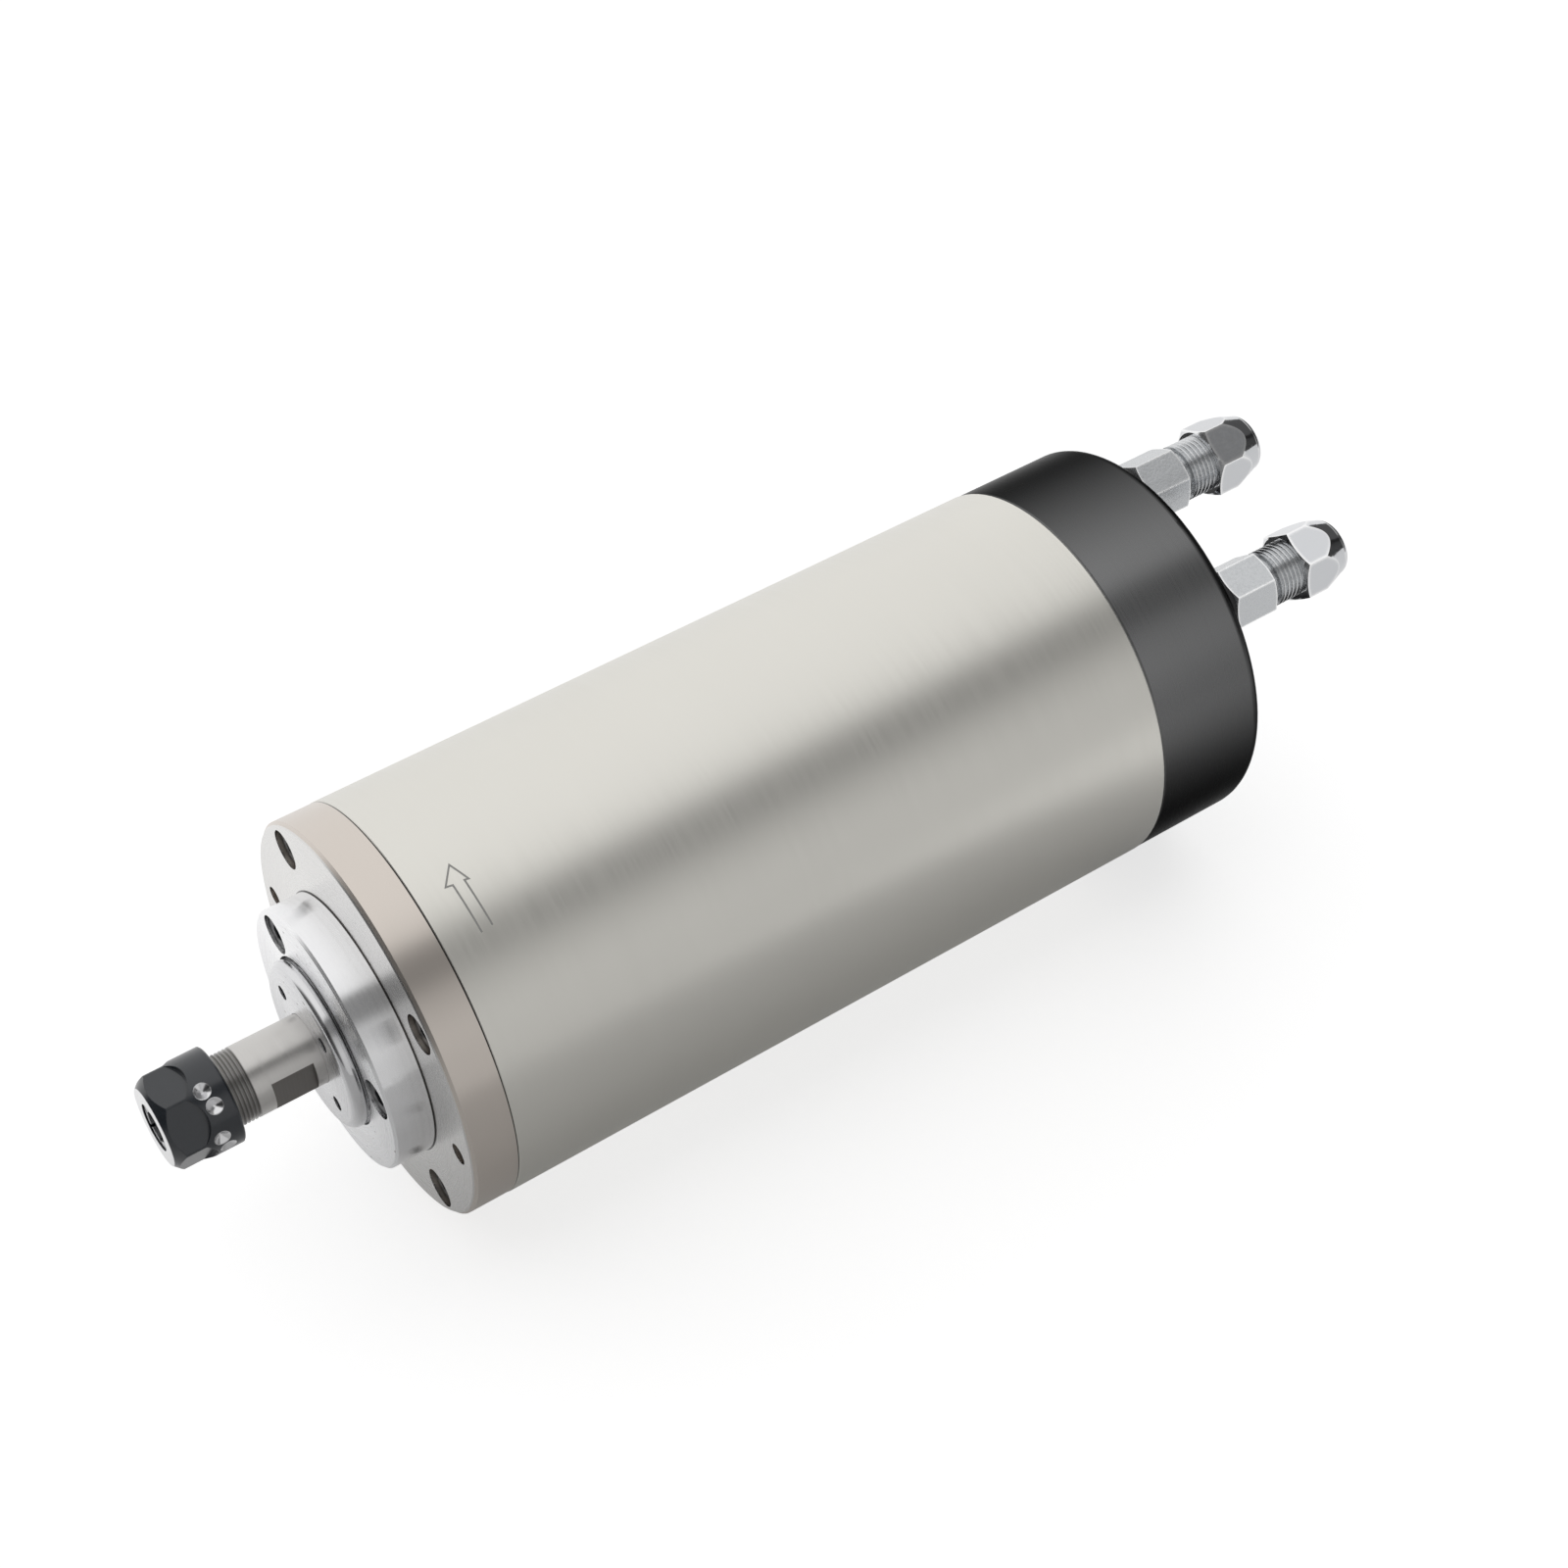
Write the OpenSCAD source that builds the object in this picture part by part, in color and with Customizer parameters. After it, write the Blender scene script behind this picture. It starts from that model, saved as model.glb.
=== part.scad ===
// High speed motor spindle with a water jacket and a collet nose, lying on its side.
// The spindle's axis is X: the collet is at -X and the water fittings at +X, with +Z up.
// The origin is on the axis, halfway along the sleeve that a spindle bracket clamps.

/* [Sleeve] */
// Outer diameter of the sleeve
sleeve_d = 80; // [79:0.5:100]
// Length of the sleeve
sleeve_l = 146.6; // [130:0.1:220]
// Wall of the sleeve
sleeve_wall = 2.5; // [1.5:0.1:3]
// Wall of the water jacket inside the sleeve
jacket_wall = 5.9; // [5.6:0.1:6.4]
// Depth of the water channels
channel_deep = 3; // [1.5:0.1:3.2]
// Pairs of water channels around the jacket
channel_pairs = 5; // [3:1:7]

/* [Nose flange] */
// Thickness of the flange
flange_t = 9; // [8:0.5:14]
// Bevel around the front edge of the flange
flange_bevel = 0.8; // [0.3:0.1:1.2]
// Length of the part of the flange that sits in the sleeve
spigot_l = 6; // [4:0.5:10]
// Outer diameter of the bearing hub behind the flange
hub_d = 44; // [40:0.5:50]
// Turn of the flange's holes about the axis, in degrees
flange_turn = 2; // [0:1:20]
// Diameter of the two tapped holes in the flange
tapped_d = 4.2; // [3.3:0.1:5]
// Depth of the two tapped holes
tapped_deep = 8; // [5:0.5:12]

/* [Screws] */
// Diameter of the flange and cap screws
screw_d = 4; // [3:0.5:4]
// Head diameter of those screws
head_d = 7; // [6:0.1:7]
// Head height of those screws
head_h = 4; // [3:0.1:4]
// Diameter of the counterbores that hold the heads
counterbore_d = 7.9; // [7.2:0.1:8.2]
// Diameter of the small screws at the rear
small_screw_d = 3; // [2.5:0.1:3]
// Head diameter of the small screws
small_head_d = 5.5; // [5:0.1:5.6]
// Head height of the small screws
small_head_h = 3; // [2:0.1:3]

/* [Bearing cap] */
// Outer diameter of the bearing cap
bearing_cap_d = 52.4; // [52:0.1:58]
// Thickness of the bearing cap
bearing_cap_t = 8; // [7.5:0.5:12]
// Diameter of the recess around the slinger ring
recess_d = 34.2; // [33:0.1:34.4]
// Depth of that recess
recess_deep = 3.4; // [2.5:0.1:4]
// Turn of the bearing cap's screws about the axis, in degrees
cap_turn = 45; // [0:1:119]

/* [Slinger ring] */
// Outer diameter of the slinger ring
ring_d = 33.6; // [30:0.1:33.6]
// How far the ring stands out of the bearing cap
ring_proud = 3; // [2.4:0.1:5]
// Thickness of the ring's rim
rim_t = 2.2; // [2:0.1:2.3]
// Radius of the ring's front edge
rim_round = 1.8; // [0.5:0.1:1.9]
// Diameter of the four spanner holes
spanner_d = 3; // [2:0.1:4]
// Diameter of the circle of the spanner holes
spanner_circle = 22.4; // [21:0.1:24]
// Depth of the spanner holes
spanner_deep = 3; // [2:0.1:4]
// Turn of the spanner holes about the axis, in degrees
spanner_turn = 39; // [0:1:89]

/* [Bearings] */
// Bore of the front bearings
front_bore = 15; // [14.6:0.1:15.4]
// Outer diameter of the front bearings
front_od = 32; // [31.5:0.1:33]
// Width of one front bearing
front_w = 9; // [8:0.5:10]
// Diameter of the front balls
front_ball = 4.8; // [4:0.1:5]
// Number of balls in a front bearing
front_balls = 11; // [9:1:12]
// Width of the spacers between the front bearings
spacer_w = 6; // [3:0.5:10]
// Bore of the rear bearing
rear_bore = 12; // [11.6:0.1:12.4]
// Outer diameter of the rear bearing
rear_od = 28; // [27.5:0.1:29]
// Width of the rear bearing
rear_w = 8; // [7:0.5:9]
// Diameter of the rear balls
rear_ball = 4.4; // [3.8:0.1:4.6]
// Number of balls in the rear bearing
rear_balls = 9; // [7:1:10]
// Height of the disc spring
spring_h = 1.5; // [1.2:0.1:2]
// Thickness of the disc spring
spring_t = 0.6; // [0.4:0.1:0.9]

/* [Shaft] */
// Diameter of the shaft's nose
nose_d = 14; // [13.6:0.1:14.4]
// Length of the nose ahead of the slinger ring
nose_l = 25.4; // [24:0.1:40]
// Distance across the two wrench flats
flat_af = 12; // [11:0.1:13]
// Length of the wrench flats
flat_l = 8.3; // [6:0.1:9]
// Gap between the slinger ring and the wrench flats
flat_gap = 2; // [1:0.1:3]
// Pitch of the nose thread
nose_pitch = 0.75; // [0.5:0.05:1]
// Length of the nose thread
nose_thread_l = 12; // [9:0.1:14]
// Diameter of the shaft under the rotor
rotor_seat_d = 20; // [18:0.1:20.4]
// Diameter of the bore behind the collet
draw_bore_d = 6.8; // [6.4:0.1:7]

/* [Collet] */
// Largest diameter of the collet
collet_d = 11.5; // [11.2:0.1:11.8]
// Length of the collet
collet_l = 18; // [16:0.5:20]
// Diameter of the tool shank that the collet grips
tool_d = 6; // [3:0.1:6.4]
// Half angle of the collet's taper, in degrees
taper_angle = 8; // [7:0.1:8.5]
// Slots cut from each end of the collet
collet_slots = 6; // [3:1:6]
// Width of the slots
slot_w = 0.6; // [0.3:0.1:0.7]

/* [Collet nut] */
// Outer diameter of the collet nut
nut_d = 19; // [18.5:0.1:21]
// Length of the collet nut
nut_l = 13.2; // [12:0.1:16]
// How far the nut reaches ahead of the shaft
nut_over = 5.6; // [5:0.1:6.5]
// Distance across the nut's flats
nut_af = 16.7; // [16.4:0.1:18]
// Length of the nut's flats
nut_flat_l = 7.8; // [6.5:0.1:8.5]
// Diameter of the bright face ring at the nut's front
nut_face_d = 15.2; // [12:0.1:16]
// World angle of one corner of the nut, in degrees
nut_turn = 115; // [60:1:119]
// Diameter of the drilled balance dimples
dimple_d = 3.2; // [2:0.1:3.6]
// Depth of the dimples
dimple_deep = 1.3; // [0.6:0.1:1.5]
// Distance of the first dimple of each pair from the nut's rear face
dimple_back = 4.3; // [3.5:0.1:5]
// How much nearer the second dimple of a pair is to the rear face
dimple_step = 0.8; // [0:0.1:1.5]

/* [Motor] */
// Room at each end of the stator stack for the winding heads
end_room = 16.5; // [14:0.5:20]
// Length of one winding head
head_l = 11; // [8:0.5:11]
// Outer diameter of the rotor
rotor_d = 32; // [30:0.5:33]
// Gap between the rotor and the stator
air_gap = 0.4; // [0.3:0.1:0.8]
// Slots in the stator
stator_slots = 18; // [12:1:20]
// Width of a stator tooth
tooth_w = 3.2; // [2.6:0.1:3.4]
// Thickness of the stator's back iron, outside its slots
yoke_t = 3.7; // [3:0.1:6]
// Bars of the rotor cage
cage_bars = 16; // [12:1:18]
// Diameter of a cage bar
bar_d = 2.2; // [1.6:0.1:2.4]
// Length of one end ring of the cage
end_ring_l = 4; // [3:0.5:5]
// Length of a balance ring
balance_l = 5; // [3:0.5:5]

/* [Rear housing] */
// Part of the rear housing's thickness that sits in the sleeve
plate_in = 6; // [5:0.5:8]
// Part of its thickness that stands out of the sleeve
plate_out = 2; // [1:0.1:3]
// Outer diameter of the rear bearing hub
rear_hub_d = 40; // [38:0.5:42]
// Distance from the rear bearing to the housing's rear face
rear_set = 10.5; // [10:0.5:12]
// Thickness of the lip behind each bearing
lip_t = 3; // [2:0.5:4]
// Length of the rear lock nut
lock_l = 5; // [4:0.5:6]
// Thickness of the rear bearing cover
cover_t = 2; // [1.5:0.1:3]

/* [Rear cap] */
// Length of the rear cap
rear_cap_l = 25; // [22:0.5:40]
// Thickness of the rear cap's end wall
end_wall = 5; // [4:0.5:6]
// Radius of the rear cap's edge
rear_round = 2.5; // [1:0.1:3]
// Turn of the rear cap's screws about the axis, in degrees
rear_turn = 14.5; // [10:0.5:18]

/* [Water fittings] */
// World angle of the first fitting, in degrees
fitting_a_turn = 78.5; // [77:0.5:80]
// World angle of the second fitting, in degrees
fitting_b_turn = 132; // [130:0.5:134]
// Distance from the rear cap's edge to a fitting's axis
fitting_inset = 8; // [7.5:0.1:9]
// Distance across the flats of a fitting
fitting_af = 12; // [11.5:0.5:13]
// Length of a fitting's hexagon
fitting_hex_l = 10.2; // [6:0.1:14]
// Turn of the first fitting's hexagon, in degrees
hex_a_turn = 7; // [0:1:59]
// Turn of the second fitting's hexagon, in degrees
hex_b_turn = 3; // [0:1:59]
// Diameter of a fitting's outer thread
fitting_thread_d = 11.7; // [11.2:0.1:12]
// Length of a fitting's outer thread with its neck
fitting_thread_l = 14; // [12:0.5:18]
// Pitch of a fitting's outer thread
fitting_pitch = 1; // [0.75:0.05:1.25]
// Diameter of the tail that screws into the rear cap
fitting_tail_d = 9.8; // [9:0.1:10]
// Thickness of the sealing washer
washer_t = 1; // [0.5:0.1:1.5]
// Outer diameter of the hose
hose_d = 8.1; // [6:0.1:8.4]
// Depth that the hose goes into the fitting
hose_deep = 10; // [6:0.5:11]
// Distance across the flats of a hose nut
hose_nut_af = 13.6; // [13.4:0.1:15]
// Length of a hose nut
hose_nut_l = 11.9; // [10.5:0.1:14]
// Length of a hose nut's corners, ahead of its cone
hose_corner_l = 4.6; // [3:0.1:7]
// Radius of the edge around a hose nut's mouth
hose_nut_round = 1.2; // [0.4:0.1:1.4]
// Turn of the first hose nut, in degrees
hose_nut_a_turn = 10; // [0:1:59]
// Turn of the second hose nut, in degrees
hose_nut_b_turn = 6; // [0:1:59]
// Length of a ferrule
ferrule_l = 3.6; // [3:0.1:4]

/* [Power socket] */
// Distance of the socket from the spindle's axis
socket_off = 14; // [13:0.5:15]
// World angle of the socket, in degrees
socket_turn = 284.5; // [282:0.5:287]
// Outer diameter of the socket's barrel
socket_d = 16; // [15.5:0.1:16.5]
// Wall of the socket's barrel
socket_wall = 1.4; // [1:0.1:1.6]
// Length of the barrel behind the rear cap
socket_l = 10; // [8:0.5:14]
// Distance of each contact pin from the socket's axis, along Y and along Z
pin_off = 3; // [2.9:0.1:3.2]
// Diameter of a contact pin
pin_d = 1.5; // [1:0.1:1.6]
// Diameter of a lead wire
wire_d = 1.8; // [1:0.1:2]

/* [Clearances] */
// Radial gap between pieces fitted into each other
fit_gap = 0.05; // [0.02:0.01:0.08]
// Radial gap between turning and fixed pieces
run_gap = 0.4; // [0.3:0.05:0.5]
// Gap around each bearing ball
ball_gap = 0.1; // [0.05:0.01:0.15]
// Gap between a nut's bore and the thread in it
thread_gap = 0.08; // [0.05:0.01:0.1]
// How much smaller the flange and the rear cap are than the sleeve, on the radius
edge_step = 0.1; // [0:0.05:0.3]

/* [Hidden] */

// A length that lets a cut run past the face that it opens.
over = 1;
// Bevel of small machined edges.
edge = 0.3;

// Places along the axis, from the nose to the rear.
x_front = -sleeve_l / 2;
x_flange = x_front - flange_t;
x_cap = x_flange - bearing_cap_t;
x_ring = x_cap - ring_proud;
x_nose = x_ring - nose_l;
x_nut = x_nose - nut_over;
x_jacket = x_front + spigot_l;
x_rear = sleeve_l / 2;
x_plate = x_rear - plate_in;
x_back = x_rear + plate_out;
x_end = x_rear + rear_cap_l;
x_inside = x_end - end_wall;

// Front bearing stack: first face, after the first bearing, after the spacers, last face.
cap_spigot_l = 3;
x_b0 = x_flange + cap_spigot_l;
x_b1 = x_b0 + front_w;
x_b2 = x_b1 + spacer_w;
x_b3 = x_b2 + front_w;
hub_lip_t = 6;
x_hub = x_b3 + hub_lip_t;

// Rear bearing: its rear face, its front face, and the front of the hub around it.
x_r1 = x_back - rear_set;
x_r0 = x_r1 - rear_w;
x_spring = x_r0 - spring_h;
x_rear_hub = x_spring - lip_t;

// Radii that several pieces share.
sleeve_r = sleeve_d / 2;
edge_r = sleeve_r - edge_step;
bore_r = sleeve_r - sleeve_wall;
jacket_r = bore_r - fit_gap;
jacket_in = jacket_r - jacket_wall;
screw_r = (jacket_r + jacket_in) / 2;
cap_screw_r = recess_d / 2 + 0.3 + counterbore_d / 2;
rotor_seat_r = rotor_seat_d / 2;
step_r = front_bore / 2;
front_pitch_r = (front_bore + front_od) / 4;
rear_pitch_r = (rear_bore + rear_od) / 4;
ring_hub_r = step_r + 2.1;
ring_step = 4;

// Bearing rings take this share of the room between bore and outside. The spacers, the
// spigot of the bearing cap and the lip behind the rear bearing leave the balls clear.
race_share = 0.32;
front_race = race_share * (front_od - front_bore) / 2;
rear_race = race_share * (rear_od - rear_bore) / 2;
race_clear = 0.3;

// Motor: the stack fills the room between the two bearing hubs.
stack_0 = x_hub + end_room;
stack_1 = x_rear_hub - end_room;
stator_in = rotor_d / 2 + air_gap;
stator_out = jacket_in - fit_gap;
slot_in = stator_in + 1.4;
slot_out = stator_out - yoke_t;
slot_fill = 0.2;
winding_in = slot_in + slot_fill + 0.2;
winding_out = slot_out - slot_fill + 1;
head_gap = 1.5;
bar_r = (rotor_seat_r + rotor_d / 2) / 2 + 0.8;

// Screw lengths and depths.
flange_sink = 5;
flange_screw_l = 18;
jacket_tap = 8.5;
cap_sink = 4.6;
cap_screw_l = 10;
plate_sink = small_head_h + 0.4;
plate_screw_l = 12;
plate_screw_r = jacket_r - small_head_d / 2 - 0.7;
small_sink_d = small_head_d + 0.4;
seal_d = 1.7;
seal_back = 11;
rim_l = 14;
pillar_d = 8;
rear_sink = 3.3;
rear_screw_l = 27;
cover_screw_r = rear_od / 2 + 2.5;
rear_lip_r = rear_od / 2 - rear_race - race_clear;
cover_screw_l = 8;

// Water way: its circle in the jacket, and the circle of the fittings and pipes.
way_d = 3;
way_r = jacket_r - channel_deep - 1;
fitting_r = edge_r - fitting_inset;
pipe_d = 5;
pipe_bore = 3.4;
pipe_sink = 3;
tail_l = end_wall + 3;
pipe_stop = 2;
hose_stop = 1.5;
neck_drop = 1;
hex_edge = 0.5;
face_in = 0.15;
corner_past = 0.2;
tip_edge = 0.5;

// Fittings along the axis: washer, hexagon, neck, thread end, hose nut.
x_hex = x_end + washer_t;
x_neck = x_hex + fitting_hex_l;
x_tip = x_neck + fitting_thread_l;
neck_l = 1.2;
x_ferrule = x_tip + 0.1;
x_mouth = x_ferrule + ferrule_l + 1.3;
ferrule_land = 1;
ferrule_drop = 1;
x_hose_nut = x_mouth - hose_nut_l;

// Power socket.
socket_y = socket_off * cos(socket_turn);
socket_z = socket_off * sin(socket_turn);
gasket_t = 0.5;
socket_in = socket_d / 2 - socket_wall;
x_insulator = x_end + 4;
x_tail = x_inside - 8;

// Wires: the circle on which they leave the winding, and the hole that they pass.
wire_r = winding_out - 2;
wire_hole_d = 8;
wire_off = 1.3;

// Turns a flat outline, drawn as [radius, place along X], about the X axis.
module turned() {
  rotate([0, 90, 0])
    rotate_extrude($fn = 96)
      children();
}

// Round bar along X from x0 to x1.
module bar(d, x0, x1) {
  translate([x0, 0, 0])
    rotate([0, 90, 0])
      cylinder(d = d, h = x1 - x0, $fn = 48);
}

// Hexagonal bar along X with one corner at the world angle turn.
module hex_bar(af, x0, x1, turn = 0) {
  rotate([turn, 0, 0])
    translate([x0, 0, 0])
      rotate([0, 90, 0])
        rotate([0, 0, 30])
          cylinder(d = af / cos(30), h = x1 - x0, $fn = 6);
}

// Tube about X between two radii.
module ring(r_out, r_in, x0, x1) {
  turned()
    translate([r_in, x0])
      square([r_out - r_in, x1 - x0]);
}

// Puts a piece at radius r and world angle a about the X axis.
module around(a, r) {
  rotate([a, 0, 0])
    translate([0, r, 0])
      children();
}

// Copies a piece n times around the X axis, first at angle a.
module pattern(n, a, r) {
  for (i = [0 : n - 1])
    around(a + i * 360 / n, r)
      children();
}

// Points of a thread outline from x0 to x1, as [radius, place].
function thread(crest, pitch, x0, x1) =
  let (n = floor((x1 - x0) / pitch), root = crest - 0.6 * pitch)
  [for (i = [0 : n - 1]) each [
    [crest, x0 + (i + 0.1) * pitch],
    [root, x0 + (i + 0.45) * pitch],
    [root, x0 + (i + 0.55) * pitch],
    [crest, x0 + (i + 0.9) * pitch]
  ]];

// Socket head screw along X. Its head ends at x, and its shank runs to +X when way is 1.
module head_screw(x, way, d, head, tall, l) {
  translate([x, 0, 0])
    mirror([way < 0 ? 1 : 0, 0, 0])
      difference() {
        union() {
          turned()
            polygon([[0, -tall], [head / 2 - edge, -tall], [head / 2, -tall + edge], [head / 2, 0],
              [d / 2, 0], [d / 2, l - edge], [d / 2 - edge, l], [0, l]]);
        }
        hex_bar(0.75 * d, -tall - over, -0.4 * tall);
      }
}

// Hole for such a screw: shank hole with its counterbore, which opens at x - sink.
module screw_hole(x, way, d, bore, sink, l) {
  translate([x, 0, 0])
    mirror([way < 0 ? 1 : 0, 0, 0]) {
      bar(bore, -sink - over, 0);
      bar(d + 2 * fit_gap, -over, l);
    }
}

// Outline of one bearing ring with its ball groove.
module race(r0, r1, x, w, pitch_r, ball) {
  turned()
    difference() {
      translate([r0, x])
        square([r1 - r0, w]);
      translate([pitch_r, x + w / 2])
        circle(d = ball + 2 * ball_gap, $fn = 64);
    }
}

// One row of balls around X.
module ball_row(n, pitch_r, ball, x) {
  pattern(n, 0, pitch_r)
    translate([x, 0, 0])
      sphere(d = ball, $fn = 32);
}

// Cage with a round pocket for each ball.
module cage(n, pitch_r, ball, x, w) {
  difference() {
    ring(pitch_r + 0.17 * ball, pitch_r - 0.17 * ball, x - w / 2, x + w / 2);
    pattern(n, 0, pitch_r)
      translate([x, 0, 0])
        rotate([90, 0, 0])
          cylinder(d = ball + 2 * ball_gap, h = ball, center = true, $fn = 32);
  }
}

module outer_sleeve() {
  color("silver")
    turned()
      polygon([[bore_r, x_front], [sleeve_r - edge, x_front], [sleeve_r, x_front + edge],
        [sleeve_r, x_rear - edge], [sleeve_r - edge, x_rear], [bore_r, x_rear]]);
}

// The water runs to and fro in channels along the axis: each rib stops short at one end,
// except the rib between the inlet and the outlet.
module water_jacket() {
  floor_r = jacket_r - channel_deep;
  channels = 2 * channel_pairs;
  rib_w = 3;
  rib_gap = 6;
  c0 = x_jacket + rim_l;
  c1 = x_plate - rim_l;
  full_rib = (fitting_a_turn + fitting_b_turn) / 2;
  color("lightsteelblue")
    difference() {
      ring(jacket_r, jacket_in, x_jacket, x_plate);
      difference() {
        ring(jacket_r + over, floor_r, c0, c1);
        for (i = [0 : channels - 1])
          around(full_rib + i * 360 / channels, 0)
            translate([c0 - over + (i > 0 && i % 2 == 1 ? rib_gap + over : 0), floor_r - over, -rib_w / 2])
              cube([c1 - c0 + 2 * over - (i > 0 ? rib_gap + over : 0), channel_deep + 2 * over, rib_w]);
      }
      for (x = [x_jacket + seal_back, x_plate - seal_back])
        ring(jacket_r + over, jacket_r - seal_d - 0.1, x - 0.65 * seal_d, x + 0.65 * seal_d);
      pattern(4, 45 + flange_turn, screw_r)
        bar(screw_d + 2 * fit_gap, x_jacket - over, x_jacket + jacket_tap);
      pattern(4, rear_turn + 45, plate_screw_r)
        bar(small_screw_d + 2 * fit_gap, x_plate - jacket_tap, x_plate + over);
      for (a = [fitting_a_turn, fitting_b_turn])
        around(a, way_r)
          bar(way_d, c1 - 4, x_plate + over);
    }
}

module jacket_seals() {
  color("dimgray")
    for (x = [x_jacket + seal_back, x_plate - seal_back])
      turned()
        translate([jacket_r - seal_d / 2, x])
          circle(d = seal_d, $fn = 32);
}

module nose_flange() {
  color("rosybrown")
    difference() {
      turned()
        polygon([[front_od / 2, x_flange], [edge_r - flange_bevel, x_flange],
          [edge_r, x_flange + flange_bevel], [edge_r, x_front], [jacket_r, x_front],
          [jacket_r, x_jacket], [hub_d / 2, x_jacket], [hub_d / 2, x_hub],
          [rotor_seat_r + run_gap, x_hub], [rotor_seat_r + run_gap, x_b3], [front_od / 2, x_b3]]);
      pattern(4, 45 + flange_turn, screw_r)
        screw_hole(x_flange + flange_sink, 1, screw_d, counterbore_d, flange_sink, flange_t + spigot_l);
      pattern(2, flange_turn, screw_r)
        bar(tapped_d, x_flange - over, x_flange + tapped_deep);
      pattern(3, cap_turn, cap_screw_r)
        bar(screw_d + 2 * fit_gap, x_flange - over, x_cap + cap_sink + cap_screw_l + over);
    }
}

module flange_screws() {
  color("dimgray")
    pattern(4, 45 + flange_turn, screw_r)
      head_screw(x_flange + flange_sink, 1, screw_d, head_d, head_h, flange_screw_l);
}

module bearing_cap() {
  bevel = 0.5;
  lip_r = ring_hub_r + run_gap;
  press_r = front_od / 2 - front_race + race_clear / 2;
  color("gainsboro")
    difference() {
      turned()
        polygon([[recess_d / 2, x_cap], [bearing_cap_d / 2 - bevel, x_cap],
          [bearing_cap_d / 2, x_cap + bevel], [bearing_cap_d / 2, x_flange],
          [front_od / 2 - fit_gap, x_flange], [front_od / 2 - fit_gap, x_b0], [press_r, x_b0],
          [press_r, x_flange + 1], [lip_r, x_flange + 1], [lip_r, x_cap + recess_deep],
          [recess_d / 2, x_cap + recess_deep]]);
      pattern(3, cap_turn, cap_screw_r)
        screw_hole(x_cap + cap_sink, 1, screw_d, counterbore_d, cap_sink, bearing_cap_t);
    }
}

module bearing_cap_screws() {
  color("dimgray")
    pattern(3, cap_turn, cap_screw_r)
      head_screw(x_cap + cap_sink, 1, screw_d, head_d, head_h, cap_screw_l);
}

module front_outer_rings() {
  color("lightgray")
    for (x = [x_b0, x_b2])
      race(front_od / 2 - front_race, front_od / 2 - fit_gap, x, front_w, front_pitch_r, front_ball);
}

module outer_spacer() {
  color("gray")
    ring(front_od / 2 - fit_gap, front_od / 2 - front_race + race_clear, x_b1, x_b2);
}

module front_inner_rings() {
  color("lightgray")
    for (x = [x_b0, x_b2])
      race(step_r + fit_gap, step_r + front_race, x, front_w, front_pitch_r, front_ball);
}

module inner_spacer() {
  color("gray")
    ring(step_r + front_race - race_clear, step_r + fit_gap, x_b1, x_b2);
}

module front_balls() {
  color("white")
    for (x = [x_b0, x_b2])
      ball_row(front_balls, front_pitch_r, front_ball, x + front_w / 2);
}

module front_cages() {
  color("peru")
    for (x = [x_b0, x_b2])
      cage(front_balls, front_pitch_r, front_ball, x + front_w / 2, 0.72 * front_w);
}

// The rim of the ring throws off coolant and covers the gap in the bearing cap.
module slinger_ring() {
  r = ring_d / 2;
  neck_r = r - 2.2;
  x_hub_face = x_cap + recess_deep - 0.8;
  color("gainsboro")
    difference() {
      turned() {
        polygon([[nose_d / 2 + fit_gap, x_ring], [r - rim_round, x_ring], [r, x_ring + rim_round],
          [r, x_ring + rim_t], [neck_r, x_ring + rim_t], [neck_r, x_hub_face],
          [ring_hub_r, x_hub_face], [ring_hub_r, x_b0], [step_r + fit_gap, x_b0],
          [step_r + fit_gap, x_ring + ring_step], [nose_d / 2 + fit_gap, x_ring + ring_step]]);
        translate([r - rim_round, x_ring + rim_round])
          circle(r = rim_round, $fn = 64);
      }
      pattern(4, spanner_turn, spanner_circle / 2)
        bar(spanner_d, x_ring - over, x_ring + spanner_deep);
    }
}

module spindle_shaft() {
  nose_r = nose_d / 2;
  mouth_r = collet_d / 2 + fit_gap;
  taper_l = collet_l - 3.5;
  socket_end_r = mouth_r - taper_l * tan(taper_angle);
  rear_r = rear_bore / 2;
  lock_end = x_r1 + lock_l + 1.5;
  color("silver")
    difference() {
      turned()
        polygon(concat([[0, x_nose], [nose_r - 0.6 * nose_pitch, x_nose]],
          thread(nose_r, nose_pitch, x_nose, x_nose + nose_thread_l),
          [[nose_r, x_nose + nose_thread_l], [nose_r, x_ring + ring_step + 0.1],
          [step_r, x_ring + ring_step + 0.1], [step_r, x_b3], [rotor_seat_r, x_b3],
          [rotor_seat_r, stack_1 + end_ring_l + balance_l + 2],
          [rear_r + 2, stack_1 + end_ring_l + balance_l + 4], [rear_r + 2, x_r0], [rear_r, x_r0],
          [rear_r, lock_end - edge], [rear_r - edge, lock_end], [0, lock_end]]));
      turned()
        polygon([[0, x_nose - over], [mouth_r + over * tan(taper_angle), x_nose - over],
          [socket_end_r, x_nose + taper_l], [draw_bore_d / 2, x_nose + taper_l],
          [draw_bore_d / 2, x_ring], [0, x_ring + draw_bore_d / 4]]);
      for (side = [1, -1])
        translate([x_ring - flat_gap - flat_l, side > 0 ? flat_af / 2 : -nose_d, -nose_d])
          cube([flat_l, nose_d - flat_af / 2, 2 * nose_d]);
    }
}

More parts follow.
